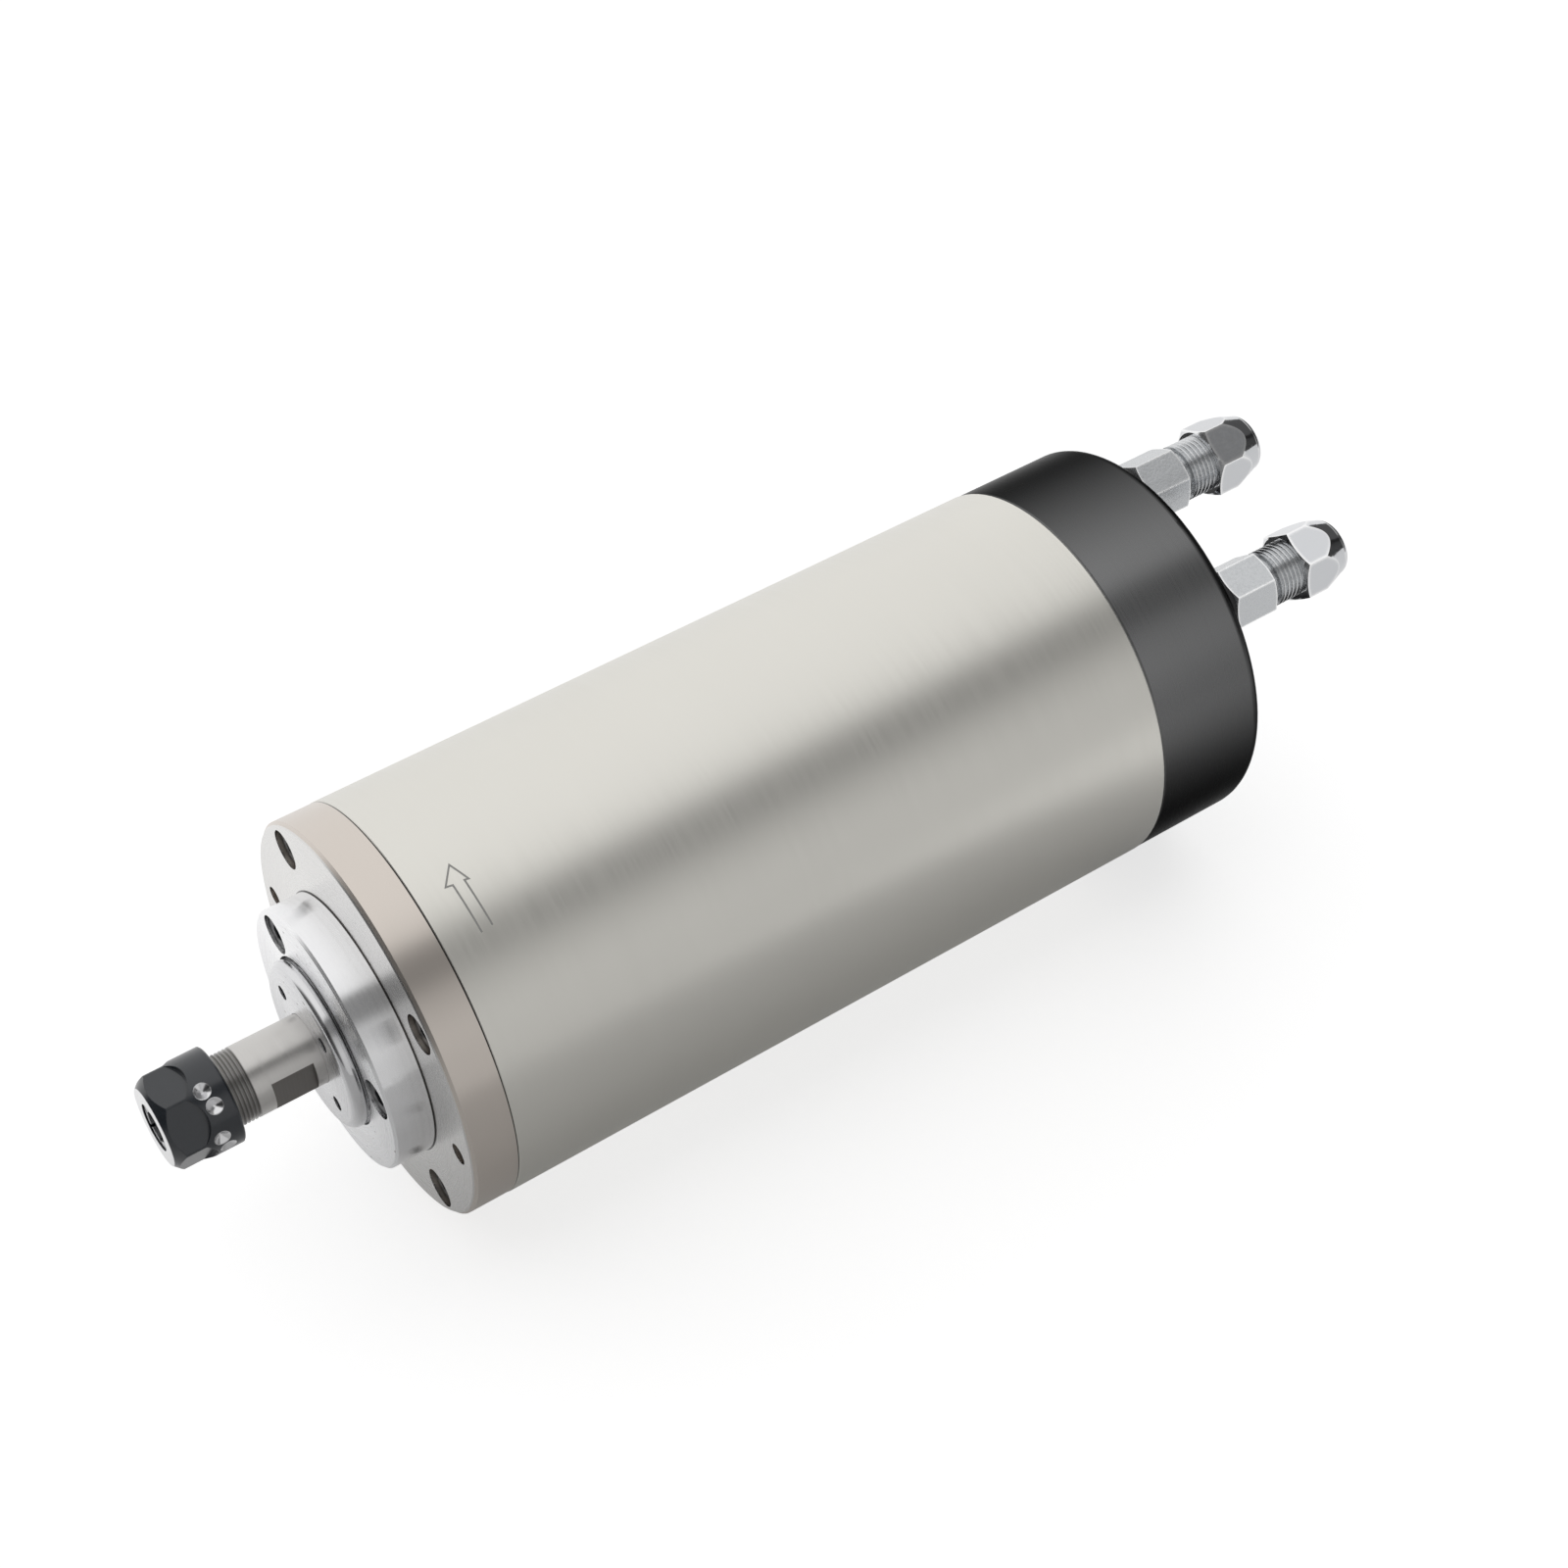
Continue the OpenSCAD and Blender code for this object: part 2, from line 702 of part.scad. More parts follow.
// Spring collet: slots from both ends by turns, a groove for the nut, then the long taper.
module collet() {
  x0 = x_nut + 0.3;
  r = collet_d / 2;
  nose_r = r - 1;
  cone_l = 1 / tan(30);
  taper_0 = x_nose;
  end_r = r - (x0 + collet_l - taper_0) * tan(taper_angle);
  color("gray")
    difference() {
      turned()
        polygon([[tool_d / 2, x0], [nose_r, x0], [r, x0 + cone_l], [r, x0 + cone_l + 0.4],
          [nose_r, x0 + cone_l + 0.6], [nose_r, taper_0 - 0.2], [r, taper_0],
          [end_r, x0 + collet_l], [tool_d / 2, x0 + collet_l]]);
      for (i = [0 : collet_slots - 1]) {
        around(i * 360 / collet_slots + 15, 0)
          translate([x0 - over, 0, -slot_w / 2])
            cube([collet_l - 3 + over, collet_d, slot_w]);
        around((i + 0.5) * 360 / collet_slots + 15, 0)
          translate([x0 + 3.4, 0, -slot_w / 2])
            cube([collet_l, collet_d, slot_w]);
      }
    }
}

// The flats stop in the round runout of the cutter that milled them.
module collet_nut() {
  r = nut_d / 2;
  x1 = x_nut + nut_l;
  cone_r = collet_d / 2 - 1 - 0.3 * tan(30) + thread_gap;
  seat_r = collet_d / 2 + thread_gap;
  seat_x = x_nut + (seat_r - cone_r) / tan(30);
  bore = nose_d / 2 + thread_gap;
  front_r = nut_face_d / 2;
  cutter = 6;
  color("#2b2d30")
    difference() {
      turned()
        polygon([[cone_r, x_nut], [front_r, x_nut], [r, x_nut + r - front_r],
          [r, x1 - edge], [r - edge, x1], [bore + edge, x1], [bore, x1 - edge],
          [bore, x_nose - 0.8], [seat_r, x_nose - 0.8], [seat_r, seat_x]]);
      pattern(6, nut_turn + 30, nut_af / 2)
        rotate([-90, 0, 0])
          linear_extrude(height = r) {
            translate([x_nut - over, -cutter])
              square([over + nut_flat_l - cutter, 2 * cutter]);
            translate([x_nut + nut_flat_l - cutter, 0])
              circle(r = cutter, $fn = 64);
          }
      for (corner = [0, 60], second = [0, 1])
        around(nut_turn + corner + 20 * second, r - dimple_deep)
          translate([x1 - dimple_back + dimple_step * second, 0, 0])
            rotate([-90, 0, 0])
              cylinder(d1 = 0, d2 = dimple_d * (1 + over / dimple_deep), h = dimple_deep + over, $fn = 32);
    }
}

module rotor_core() {
  color("dimgray")
    difference() {
      ring(rotor_d / 2, rotor_seat_r + fit_gap, stack_0, stack_1);
      pattern(cage_bars, 0, bar_r)
        bar(bar_d + 2 * fit_gap, stack_0 - over, stack_1 + over);
    }
}

module rotor_cage() {
  color("gainsboro")
    union() {
      for (x = [stack_0 - end_ring_l, stack_1])
        ring(bar_r + bar_d / 2 + 0.6, bar_r - bar_d / 2 - 0.6, x, x + end_ring_l);
      pattern(cage_bars, 0, bar_r)
        bar(bar_d, stack_0 - over, stack_1 + over);
    }
}

// Rings on both ends of the rotor, drilled from outside to balance it.
module balance_rings() {
  color("darkkhaki")
    for (x = [stack_0 - end_ring_l - balance_l, stack_1 + end_ring_l])
      difference() {
        ring(bar_r + bar_d / 2 + 0.6, rotor_seat_r + fit_gap, x, x + balance_l);
        for (a = [30, 48, 205])
          around(a, rotor_seat_r + 2.5)
            translate([x + balance_l / 2, 0, 0])
              rotate([-90, 0, 0])
                cylinder(d = 2, h = rotor_d, $fn = 24);
      }
}

// Half the width of a slot at radius r, which leaves teeth of one width.
function slot_half(r) = PI * r / stator_slots - tooth_w / 2;

module slot_outline(r0, r1, shrink) {
  polygon([[r0, -slot_half(r0) + shrink], [r1, -slot_half(r1) + shrink],
    [r1, slot_half(r1) - shrink], [r0, slot_half(r0) - shrink]]);
}

module stator_core() {
  color("slategray")
    translate([stack_0, 0, 0])
      rotate([0, 90, 0])
        linear_extrude(height = stack_1 - stack_0)
          difference() {
            circle(r = stator_out, $fn = 96);
            circle(r = stator_in, $fn = 96);
            for (i = [0 : stator_slots - 1])
              rotate([0, 0, i * 360 / stator_slots]) {
                slot_outline(slot_in, slot_out, 0);
                translate([stator_in - over, -0.7])
                  square([slot_in - stator_in + over + 0.5, 1.4]);
              }
          }
}

// Copper in every slot, joined by the two winding heads.
module stator_winding() {
  color("chocolate")
    union() {
      translate([stack_0 - head_gap - over, 0, 0])
        rotate([0, 90, 0])
          linear_extrude(height = stack_1 - stack_0 + 2 * (head_gap + over))
            for (i = [0 : stator_slots - 1])
              rotate([0, 0, i * 360 / stator_slots])
                slot_outline(slot_in + slot_fill, slot_out - slot_fill, slot_fill);
      for (x = [stack_0 - head_gap - head_l, stack_1 + head_gap])
        ring(winding_out, winding_in, x, x + head_l);
    }
}

// Slanting run of round wire from point p to point q, with a ball at each bend.
module wire_run(p, q) {
  v = q - p;
  l = norm(v);
  for (bend = [p, q])
    translate(bend)
      sphere(d = 1.15 * wire_d, $fn = 24);
  translate(p)
    rotate([0, acos(v[2] / l), atan2(v[1], v[0])])
      cylinder(d = wire_d, h = l, $fn = 24);
}

// One wire to each contact pin of the power socket. The outer two cross behind the inner two.
module lead_wires() {
  c = cos(socket_turn);
  s = sin(socket_turn);
  slant_l = 2.5;
  color("firebrick")
    for (sy = [1, -1], sz = [1, -1]) {
      r = wire_r - sz * wire_off;
      t = sy * wire_off;
      y0 = r * c - t * s;
      z0 = r * s + t * c;
      y1 = socket_y + sy * pin_off;
      z1 = socket_z + sz * pin_off;
      x0 = x_back + cover_t + (sz > 0 ? 2.3 : 4.3);
      x1 = x0 + slant_l;
      union() {
        translate([0, y0, z0])
          bar(wire_d, stack_1 + head_gap + head_l, x0);
        wire_run([x0, y0, z0], [x1, y1, z1]);
        translate([0, y1, z1])
          bar(wire_d, x1, x_tail);
      }
    }
}

module rear_housing() {
  seat_r = rear_od / 2;
  color("lightslategray")
    difference() {
      turned()
        polygon([[seat_r, x_back], [seat_r, x_spring], [rear_lip_r, x_spring],
          [rear_lip_r, x_rear_hub], [rear_hub_d / 2, x_rear_hub], [rear_hub_d / 2, x_plate],
          [jacket_r, x_plate], [jacket_r, x_back]]);
      pattern(4, rear_turn + 45, plate_screw_r)
        screw_hole(x_back - plate_sink, -1, small_screw_d, small_sink_d, plate_sink, plate_in + plate_out);
      pattern(4, rear_turn, screw_r)
        bar(small_screw_d + 2 * fit_gap, x_end - rear_sink - rear_screw_l - over, x_back + over);
      pattern(3, rear_turn + 30, cover_screw_r)
        bar(small_screw_d + 2 * fit_gap, x_back + cover_t - cover_screw_l - over, x_back + over);
      for (a = [fitting_a_turn, fitting_b_turn]) {
        around(a, fitting_r)
          bar(pipe_d + 2 * fit_gap, x_back - pipe_sink, x_back + over);
        around(a, (fitting_r + way_r) / 2)
          bar(way_d, x_plate - over, x_back - pipe_sink + over);
      }
      around(socket_turn, wire_r)
        bar(wire_hole_d, x_plate - over, x_back + over);
    }
}

module rear_housing_screws() {
  color("dimgray")
    pattern(4, rear_turn + 45, plate_screw_r)
      head_screw(x_back - plate_sink, -1, small_screw_d, small_head_d, small_head_h, plate_screw_l);
}

module rear_outer_ring() {
  color("lightgray")
    race(rear_od / 2 - rear_race, rear_od / 2 - fit_gap, x_r0, rear_w, rear_pitch_r, rear_ball);
}

module rear_inner_ring() {
  color("lightgray")
    race(rear_bore / 2 + fit_gap, rear_bore / 2 + rear_race, x_r0, rear_w, rear_pitch_r, rear_ball);
}

module rear_balls() {
  color("white")
    ball_row(rear_balls, rear_pitch_r, rear_ball, x_r0 + rear_w / 2);
}

module rear_cage() {
  color("peru")
    cage(rear_balls, rear_pitch_r, rear_ball, x_r0 + rear_w / 2, 0.72 * rear_w);
}

module preload_spring() {
  r1 = rear_od / 2 - 0.2;
  r0 = rear_lip_r + 0.2;
  color("darkgoldenrod")
    turned()
      polygon([[r0, x_spring], [r0, x_spring + spring_t], [r1, x_r0], [r1, x_r0 - spring_t]]);
}

module rear_lock_nut() {
  r = rear_bore / 2 + 3;
  color("dimgray")
    difference() {
      ring(r, rear_bore / 2 + fit_gap, x_r1, x_r1 + lock_l);
      pattern(4, 0, r)
        translate([x_r1 - over, -1.2, -1.5])
          cube([lock_l + 2 * over, 3, 3]);
    }
}

module rear_cover() {
  color("lightslategray")
    difference() {
      turned()
        polygon([[0, x_back - 1.5], [rear_od / 2 - fit_gap, x_back - 1.5],
          [rear_od / 2 - fit_gap, x_back], [cover_screw_r + 3.2, x_back],
          [cover_screw_r + 3.2, x_back + cover_t], [0, x_back + cover_t]]);
      pattern(3, rear_turn + 30, cover_screw_r)
        bar(small_screw_d + 2 * fit_gap, x_back - over, x_back + cover_t + over);
    }
}

module rear_cover_screws() {
  color("dimgray")
    pattern(3, rear_turn + 30, cover_screw_r)
      head_screw(x_back + cover_t, -1, small_screw_d, small_head_d, small_head_h - 1, cover_screw_l);
}

module rear_cap() {
  color("#303235")
    difference() {
      union() {
        turned() {
          polygon([[bore_r, x_rear], [edge_r - edge, x_rear], [edge_r, x_rear + edge],
            [edge_r, x_end - rear_round], [edge_r - rear_round, x_end], [0, x_end],
            [0, x_inside], [bore_r, x_inside]]);
          translate([edge_r - rear_round, x_end - rear_round])
            circle(r = rear_round, $fn = 64);
        }
        pattern(4, rear_turn, screw_r)
          bar(pillar_d, x_back, x_inside + over);
      }
      pattern(4, rear_turn, screw_r)
        screw_hole(x_end - rear_sink, -1, small_screw_d, small_sink_d, rear_sink, rear_screw_l);
      for (a = [fitting_a_turn, fitting_b_turn])
        around(a, fitting_r)
          bar(fitting_tail_d + 2 * fit_gap, x_inside - over, x_end + over);
      translate([0, socket_y, socket_z])
        bar(socket_d - 2 + 2 * fit_gap, x_inside - over, x_end + over);
    }
}

module rear_cap_screws() {
  color("dimgray")
    pattern(4, rear_turn, screw_r)
      head_screw(x_end - rear_sink, -1, small_screw_d, small_head_d, small_head_h, rear_screw_l);
}

module water_pipes() {
  color("sandybrown")
    for (a = [fitting_a_turn, fitting_b_turn])
      around(a, fitting_r)
        ring(pipe_d / 2, pipe_bore / 2, x_back - pipe_sink, x_end - pipe_stop - 1);
}

module fitting_washers() {
  color("dimgray")
    for (a = [fitting_a_turn, fitting_b_turn])
      around(a, fitting_r)
        ring(fitting_af / 2, fitting_tail_d / 2 + fit_gap, x_end, x_hex);
}

// Fitting along X on its own axis: tail, hexagon, neck, thread, with the hose's bore.
module fitting_body(turn) {
  r = fitting_thread_d / 2;
  tail_r = fitting_tail_d / 2;
  neck_r = r - neck_drop;
  corner = fitting_af / cos(30) / 2;
  face_r = fitting_af / 2 - face_in;
  rise = hex_edge * corner_past / (corner - face_r);
  color("lightgoldenrodyellow")
    difference() {
      union() {
        turned()
          polygon(concat([[0, x_end - tail_l], [tail_r - edge, x_end - tail_l],
            [tail_r, x_end - tail_l + edge], [tail_r, x_hex + over], [neck_r, x_hex + over],
            [neck_r, x_neck + neck_l]],
            thread(r, fitting_pitch, x_neck + neck_l, x_tip - tip_edge),
            [[r - tip_edge, x_tip], [0, x_tip]]));
        intersection() {
          hex_bar(fitting_af, x_hex, x_neck, turn);
          turned()
            polygon([[0, x_hex], [face_r, x_hex],
              [corner + corner_past, x_hex + hex_edge + rise],
              [corner + corner_past, x_neck - hex_edge - rise],
              [face_r, x_neck], [0, x_neck]]);
        }
      }
      bar(hose_d, x_tip - hose_deep, x_tip + over);
      bar(hose_d - 2 * hose_stop, x_end - pipe_stop, x_tip);
      bar(pipe_d + 2 * fit_gap, x_end - tail_l - over, x_end - pipe_stop + over);
    }
}

module fitting_body_a() {
  around(fitting_a_turn, fitting_r)
    fitting_body(hex_a_turn);
}

module fitting_body_b() {
  around(fitting_b_turn, fitting_r)
    fitting_body(hex_b_turn);
}

// The cone of the ferrule closes on the hose when the hose nut is tightened.
module ferrule() {
  r = fitting_thread_d / 2 - 0.1;
  color("goldenrod")
    turned()
      polygon([[hose_d / 2, x_ferrule], [r, x_ferrule], [r, x_ferrule + ferrule_land],
        [r - ferrule_drop, x_ferrule + ferrule_l], [hose_d / 2, x_ferrule + ferrule_l]]);
}

module ferrule_a() {
  around(fitting_a_turn, fitting_r)
    ferrule();
}

module ferrule_b() {
  around(fitting_b_turn, fitting_r)
    ferrule();
}

module hose_nut(turn) {
  front_edge = 0.6;
  tip_wall = 1.7;
  r = fitting_thread_d / 2;
  bore = r + thread_gap;
  af = hose_nut_af;
  corner = af / cos(30) / 2;
  face_r = af / 2 - face_in;
  rise = front_edge * corner_past / (corner - face_r);
  x_cone = x_hose_nut + front_edge + hose_corner_l;
  mouth_r = hose_d / 2 + 0.2;
  tip_r = mouth_r + tip_wall;
  round_r = tip_r - hose_nut_round;
  slope = (x_mouth - hose_nut_round - x_cone) / (corner - tip_r);
  color("lightgoldenrodyellow")
    difference() {
      intersection() {
        hex_bar(af, x_hose_nut, x_mouth, turn);
        turned() {
          polygon([[0, x_hose_nut], [face_r, x_hose_nut],
            [corner + corner_past, x_hose_nut + front_edge + rise],
            [corner + corner_past, x_cone - slope * corner_past],
            [tip_r, x_mouth - hose_nut_round], [round_r, x_mouth], [0, x_mouth]]);
          translate([round_r, x_mouth - hose_nut_round])
            circle(r = hose_nut_round, $fn = 64);
        }
      }
      turned()
        polygon([[0, x_hose_nut - over], [bore, x_hose_nut - over],
          [bore, x_ferrule + ferrule_land], [bore - ferrule_drop, x_ferrule + ferrule_l],
          [bore - ferrule_drop, x_ferrule + ferrule_l + thread_gap],
          [mouth_r, x_ferrule + ferrule_l + thread_gap], [mouth_r, x_mouth + over],
          [0, x_mouth + over]]);
    }
}

module hose_nut_a() {
  around(fitting_a_turn, fitting_r)
    hose_nut(hose_nut_a_turn);
}

module hose_nut_b() {
  around(fitting_b_turn, fitting_r)
    hose_nut(hose_nut_b_turn);
}

module socket_gasket() {
  color("dimgray")
    translate([0, socket_y, socket_z])
      ring(socket_d / 2 + 1.5, socket_d / 2 - 1 + fit_gap, x_end, x_end + gasket_t);
}

module socket_shell() {
  r = socket_d / 2;
  x0 = x_end + gasket_t;
  color("silver")
    translate([0, socket_y, socket_z])
      turned()
        polygon(concat([[socket_in, x_inside - 4], [r - 1, x_inside - 4], [r - 1, x0],
          [r + 1.5, x0], [r + 1.5, x0 + 2], [r, x0 + 2]],
          thread(r, 1, x0 + 3, x_end + socket_l - 1),
          [[r, x_end + socket_l - 0.5], [r - 0.5, x_end + socket_l], [socket_in, x_end + socket_l]]));
}

module socket_insulator() {
  color("#3a3a3a")
    translate([0, socket_y, socket_z])
      difference() {
        bar(2 * (socket_in - fit_gap), x_inside - 3, x_insulator);
        for (sy = [1, -1], sz = [1, -1])
          translate([0, sy * pin_off, sz * pin_off])
            bar(pin_d + 2 * fit_gap, x_inside - 3 - over, x_insulator + over);
      }
}

module socket_pins() {
  color("gold")
    translate([0, socket_y, socket_z])
      for (sy = [1, -1], sz = [1, -1])
        translate([0, sy * pin_off, sz * pin_off])
          turned()
            polygon([[0, x_tail], [pin_d / 2, x_tail], [pin_d / 2, x_end + socket_l - 1.8],
              [pin_d / 2 - 0.4, x_end + socket_l - 1], [0, x_end + socket_l - 1]]);
}

module socket_lock_nut() {
  color("silver")
    translate([0, socket_y, socket_z])
      difference() {
        hex_bar(socket_d + 2, x_inside - 3, x_inside, 30);
        bar(socket_d - 2 + 2 * fit_gap, x_inside - 3 - over, x_inside + over);
      }
}

outer_sleeve();
water_jacket();
jacket_seals();
nose_flange();
flange_screws();
bearing_cap();
bearing_cap_screws();
front_outer_rings();
outer_spacer();
front_inner_rings();
inner_spacer();
front_balls();
front_cages();
slinger_ring();
spindle_shaft();
collet();
collet_nut();
rotor_core();
rotor_cage();
balance_rings();
stator_core();
stator_winding();
lead_wires();
rear_housing();
rear_housing_screws();
rear_outer_ring();
rear_inner_ring();
rear_balls();
rear_cage();
preload_spring();
rear_lock_nut();
rear_cover();
rear_cover_screws();
rear_cap();
rear_cap_screws();
water_pipes();
fitting_washers();
fitting_body_a();
fitting_body_b();
ferrule_a();
ferrule_b();
hose_nut_a();
hose_nut_b();
socket_gasket();
socket_shell();
socket_insulator();
socket_pins();
socket_lock_nut();
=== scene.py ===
import math

import bmesh
import bpy
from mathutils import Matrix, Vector


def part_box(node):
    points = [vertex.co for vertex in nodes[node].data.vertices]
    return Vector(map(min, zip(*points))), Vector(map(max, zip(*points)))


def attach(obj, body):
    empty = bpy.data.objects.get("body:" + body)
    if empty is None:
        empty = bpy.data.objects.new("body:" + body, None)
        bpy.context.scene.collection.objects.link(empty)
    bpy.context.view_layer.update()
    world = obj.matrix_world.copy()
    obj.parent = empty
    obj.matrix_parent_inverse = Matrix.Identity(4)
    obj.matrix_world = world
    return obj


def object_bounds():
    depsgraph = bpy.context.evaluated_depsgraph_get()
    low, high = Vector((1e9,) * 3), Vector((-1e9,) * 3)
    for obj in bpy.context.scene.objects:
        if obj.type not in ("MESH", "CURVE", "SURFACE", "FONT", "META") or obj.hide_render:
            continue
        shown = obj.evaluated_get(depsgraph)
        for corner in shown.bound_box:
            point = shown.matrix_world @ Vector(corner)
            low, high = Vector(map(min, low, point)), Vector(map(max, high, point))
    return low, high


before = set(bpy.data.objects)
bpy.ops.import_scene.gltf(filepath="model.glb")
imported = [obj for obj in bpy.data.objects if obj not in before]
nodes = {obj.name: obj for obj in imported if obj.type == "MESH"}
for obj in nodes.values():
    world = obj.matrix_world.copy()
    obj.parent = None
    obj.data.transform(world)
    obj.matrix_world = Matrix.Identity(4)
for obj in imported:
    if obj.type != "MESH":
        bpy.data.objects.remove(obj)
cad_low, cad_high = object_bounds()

MM = 0.001

# The camera stands above the collet end and looks down along the spindle.
# Its place and its lens come from the circles of the sleeve and the flange in the photograph.
CAMERA_PLACE = Vector((-0.19393, -0.29973, 0.40895))
CAMERA_BACK = Vector((-0.37751, -0.55306, 0.74271))
LENS_MM = 64.34
SENSOR_MM = 36
camera_data = bpy.data.cameras.new("camera")
camera_data.lens = LENS_MM
camera_data.sensor_width = SENSOR_MM
camera = bpy.data.objects.new("camera", camera_data)
camera.location = CAMERA_PLACE
camera.rotation_mode = "QUATERNION"
camera.rotation_quaternion = (-CAMERA_BACK).to_track_quat("-Z", "Y")
bpy.context.scene.collection.objects.link(camera)
bpy.context.scene.camera = camera

# The studio is a tent of soft panels along the spindle, with a dark slit over the camera
# and dim ends. Each panel is (angle around X in degrees, brightness). The backdrop is white.
PANELS = [(-90, 0.60), (-30, 1.00), (80, 1.00), (98, 0.94), (107, 0.25), (121, 0.25),
          (133, 0.56), (152, 0.68), (170, 0.62), (185, 0.54), (225, 0.38), (250, 0.38)]
END_FROM, END_TO, END_LIGHT = 0.58, 0.82, 0.10


def feed(tree, socket, value):
    """Puts a number or a vector on a socket, or links it to the socket that gives one."""
    if isinstance(value, bpy.types.NodeSocket):
        tree.links.new(value, socket)
    else:
        socket.default_value = value


def math_node(tree, operation, *values):
    """One arithmetic node. A value is a number or the socket that gives it."""
    node = tree.nodes.new("ShaderNodeMath")
    node.operation = operation
    for socket, value in zip(node.inputs, values):
        feed(tree, socket, value)
    return node.outputs[0]


def ranged(tree, value, low, high, start=0.0, end=1.0):
    """Goes smoothly from low to high while the value goes from start to end."""
    node = tree.nodes.new("ShaderNodeMapRange")
    node.interpolation_type = "SMOOTHSTEP"
    for name, number in (("From Min", start), ("From Max", end), ("To Min", low), ("To Max", high)):
        node.inputs[name].default_value = number
    tree.links.new(value, node.inputs["Value"])
    return node.outputs[0]


def grey(level):
    return (level, level, level, 1)


def studio_world():
    world = bpy.data.worlds.new("studio")
    world.use_nodes = True
    tree = world.node_tree
    tree.nodes.clear()
    way = tree.nodes.new("ShaderNodeSeparateXYZ")
    tree.links.new(tree.nodes.new("ShaderNodeTexCoord").outputs["Generated"], way.inputs[0])
    angle = math_node(tree, "ARCTAN2", way.outputs["Z"], way.outputs["Y"])
    ramp = tree.nodes.new("ShaderNodeValToRGB")
    ramp.color_ramp.interpolation = "EASE"
    tree.links.new(math_node(tree, "MULTIPLY_ADD", angle, 0.5 / math.pi, 0.5), ramp.inputs[0])
    stops = sorted((((degrees + 180) % 360) / 360, level) for degrees, level in PANELS)
    ends = ramp.color_ramp.elements
    ends[0].position, ends[0].color = stops[0][0], grey(stops[0][1])
    ends[1].position, ends[1].color = stops[-1][0], grey(stops[-1][1])
    for place, level in stops[1:-1]:
        ends.new(place).color = grey(level)
    lit = tree.nodes.new("ShaderNodeBackground")
    tree.links.new(ramp.outputs["Color"], lit.inputs["Color"])
    along = math_node(tree, "ABSOLUTE", way.outputs["X"])
    tree.links.new(ranged(tree, along, 1.0, END_LIGHT, END_FROM, END_TO), lit.inputs["Strength"])
    white = tree.nodes.new("ShaderNodeBackground")
    white.inputs["Color"].default_value = grey(1)
    mix = tree.nodes.new("ShaderNodeMixShader")
    camera_ray = tree.nodes.new("ShaderNodeLightPath").outputs["Is Camera Ray"]
    tree.links.new(camera_ray, mix.inputs["Fac"])
    tree.links.new(lit.outputs[0], mix.inputs[1])
    tree.links.new(white.outputs[0], mix.inputs[2])
    tree.links.new(mix.outputs[0], tree.nodes.new("ShaderNodeOutputWorld").inputs["Surface"])
    return world


bpy.context.scene.world = studio_world()
bpy.context.scene.view_settings.view_transform = "Standard"

# The floor is a sheet of pale paper under the sleeve. The camera sees it white, with a soft
# shadow. The metal mirrors it brighter behind the spindle and past the spindle's rear end.
# Each gloss is (least, most, place where it starts to grow, place where it is full).
FLOOR_SIZE = 6.0
FLOOR_TONE = 0.60
FLOOR_LIFT = 0.68
FLOOR_GLOSS_X = (0.05, 0.60, 95 * MM, 160 * MM)
FLOOR_GLOSS_Y = (0.05, 0.85, -60 * MM, 60 * MM)


def paper_floor():
    mesh = bmesh.new()
    bmesh.ops.create_grid(mesh, x_segments=2, y_segments=2, size=FLOOR_SIZE / 2)
    bmesh.ops.translate(mesh, verts=mesh.verts, vec=(0, 0, cad_low.z))
    data = bpy.data.meshes.new("floor")
    mesh.to_mesh(data)
    mesh.free()
    floor = bpy.data.objects.new("floor", data)
    bpy.context.scene.collection.objects.link(floor)
    material = bpy.data.materials.new("pale_paper")
    material.use_nodes = True
    tree = material.node_tree
    tree.nodes.clear()
    paper = tree.nodes.new("ShaderNodeBsdfDiffuse")
    paper.inputs["Color"].default_value = grey(FLOOR_TONE)
    glow = tree.nodes.new("ShaderNodeEmission")
    path = tree.nodes.new("ShaderNodeLightPath")
    place = tree.nodes.new("ShaderNodeSeparateXYZ")
    tree.links.new(tree.nodes.new("ShaderNodeTexCoord").outputs["Object"], place.inputs[0])
    bright = math_node(tree, "MAXIMUM", ranged(tree, place.outputs["X"], *FLOOR_GLOSS_X),
                       ranged(tree, place.outputs["Y"], *FLOOR_GLOSS_Y))
    mirrored = math_node(tree, "MULTIPLY", path.outputs["Is Glossy Ray"], bright)
    seen = math_node(tree, "MAXIMUM", path.outputs["Is Camera Ray"], mirrored)
    tree.links.new(math_node(tree, "MULTIPLY", seen, FLOOR_LIFT), glow.inputs["Strength"])
    both = tree.nodes.new("ShaderNodeAddShader")
    tree.links.new(paper.outputs[0], both.inputs[0])
    tree.links.new(glow.outputs[0], both.inputs[1])
    tree.links.new(both.outputs[0], tree.nodes.new("ShaderNodeOutputMaterial").inputs["Surface"])
    data.materials.append(material)


paper_floor()

# The sleeve is a stainless tube, ground all over to a satin skin. The marks run around it,
# and its two ends are broken by a hair's breadth, where it meets the flange and the rear cap.
# Its front end gets a dark joint line, and the lip at its rear end is painted lighter, a painted
# highlight.
# Marks and clouds are counted per metre, and marks are drawn out around X.
SLEEVE_COLOUR = (0.765, 0.750, 0.700)
SLEEVE_ROUGH = 0.34
JOINT_COLOUR = (0.11, 0.105, 0.10)
SLEEVE_LIP_HIGHLIGHT = (0.86, 0.85, 0.82)
JOINT_W = 0.10 * MM
SATIN_MARKS = (2400, 22, 22)
SATIN_CLOUDS = 26
SATIN_DEPTH = 0.0015 * MM
NOISE_BAND = (0.3, 0.7)
sleeve_low, sleeve_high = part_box("outer_sleeve")


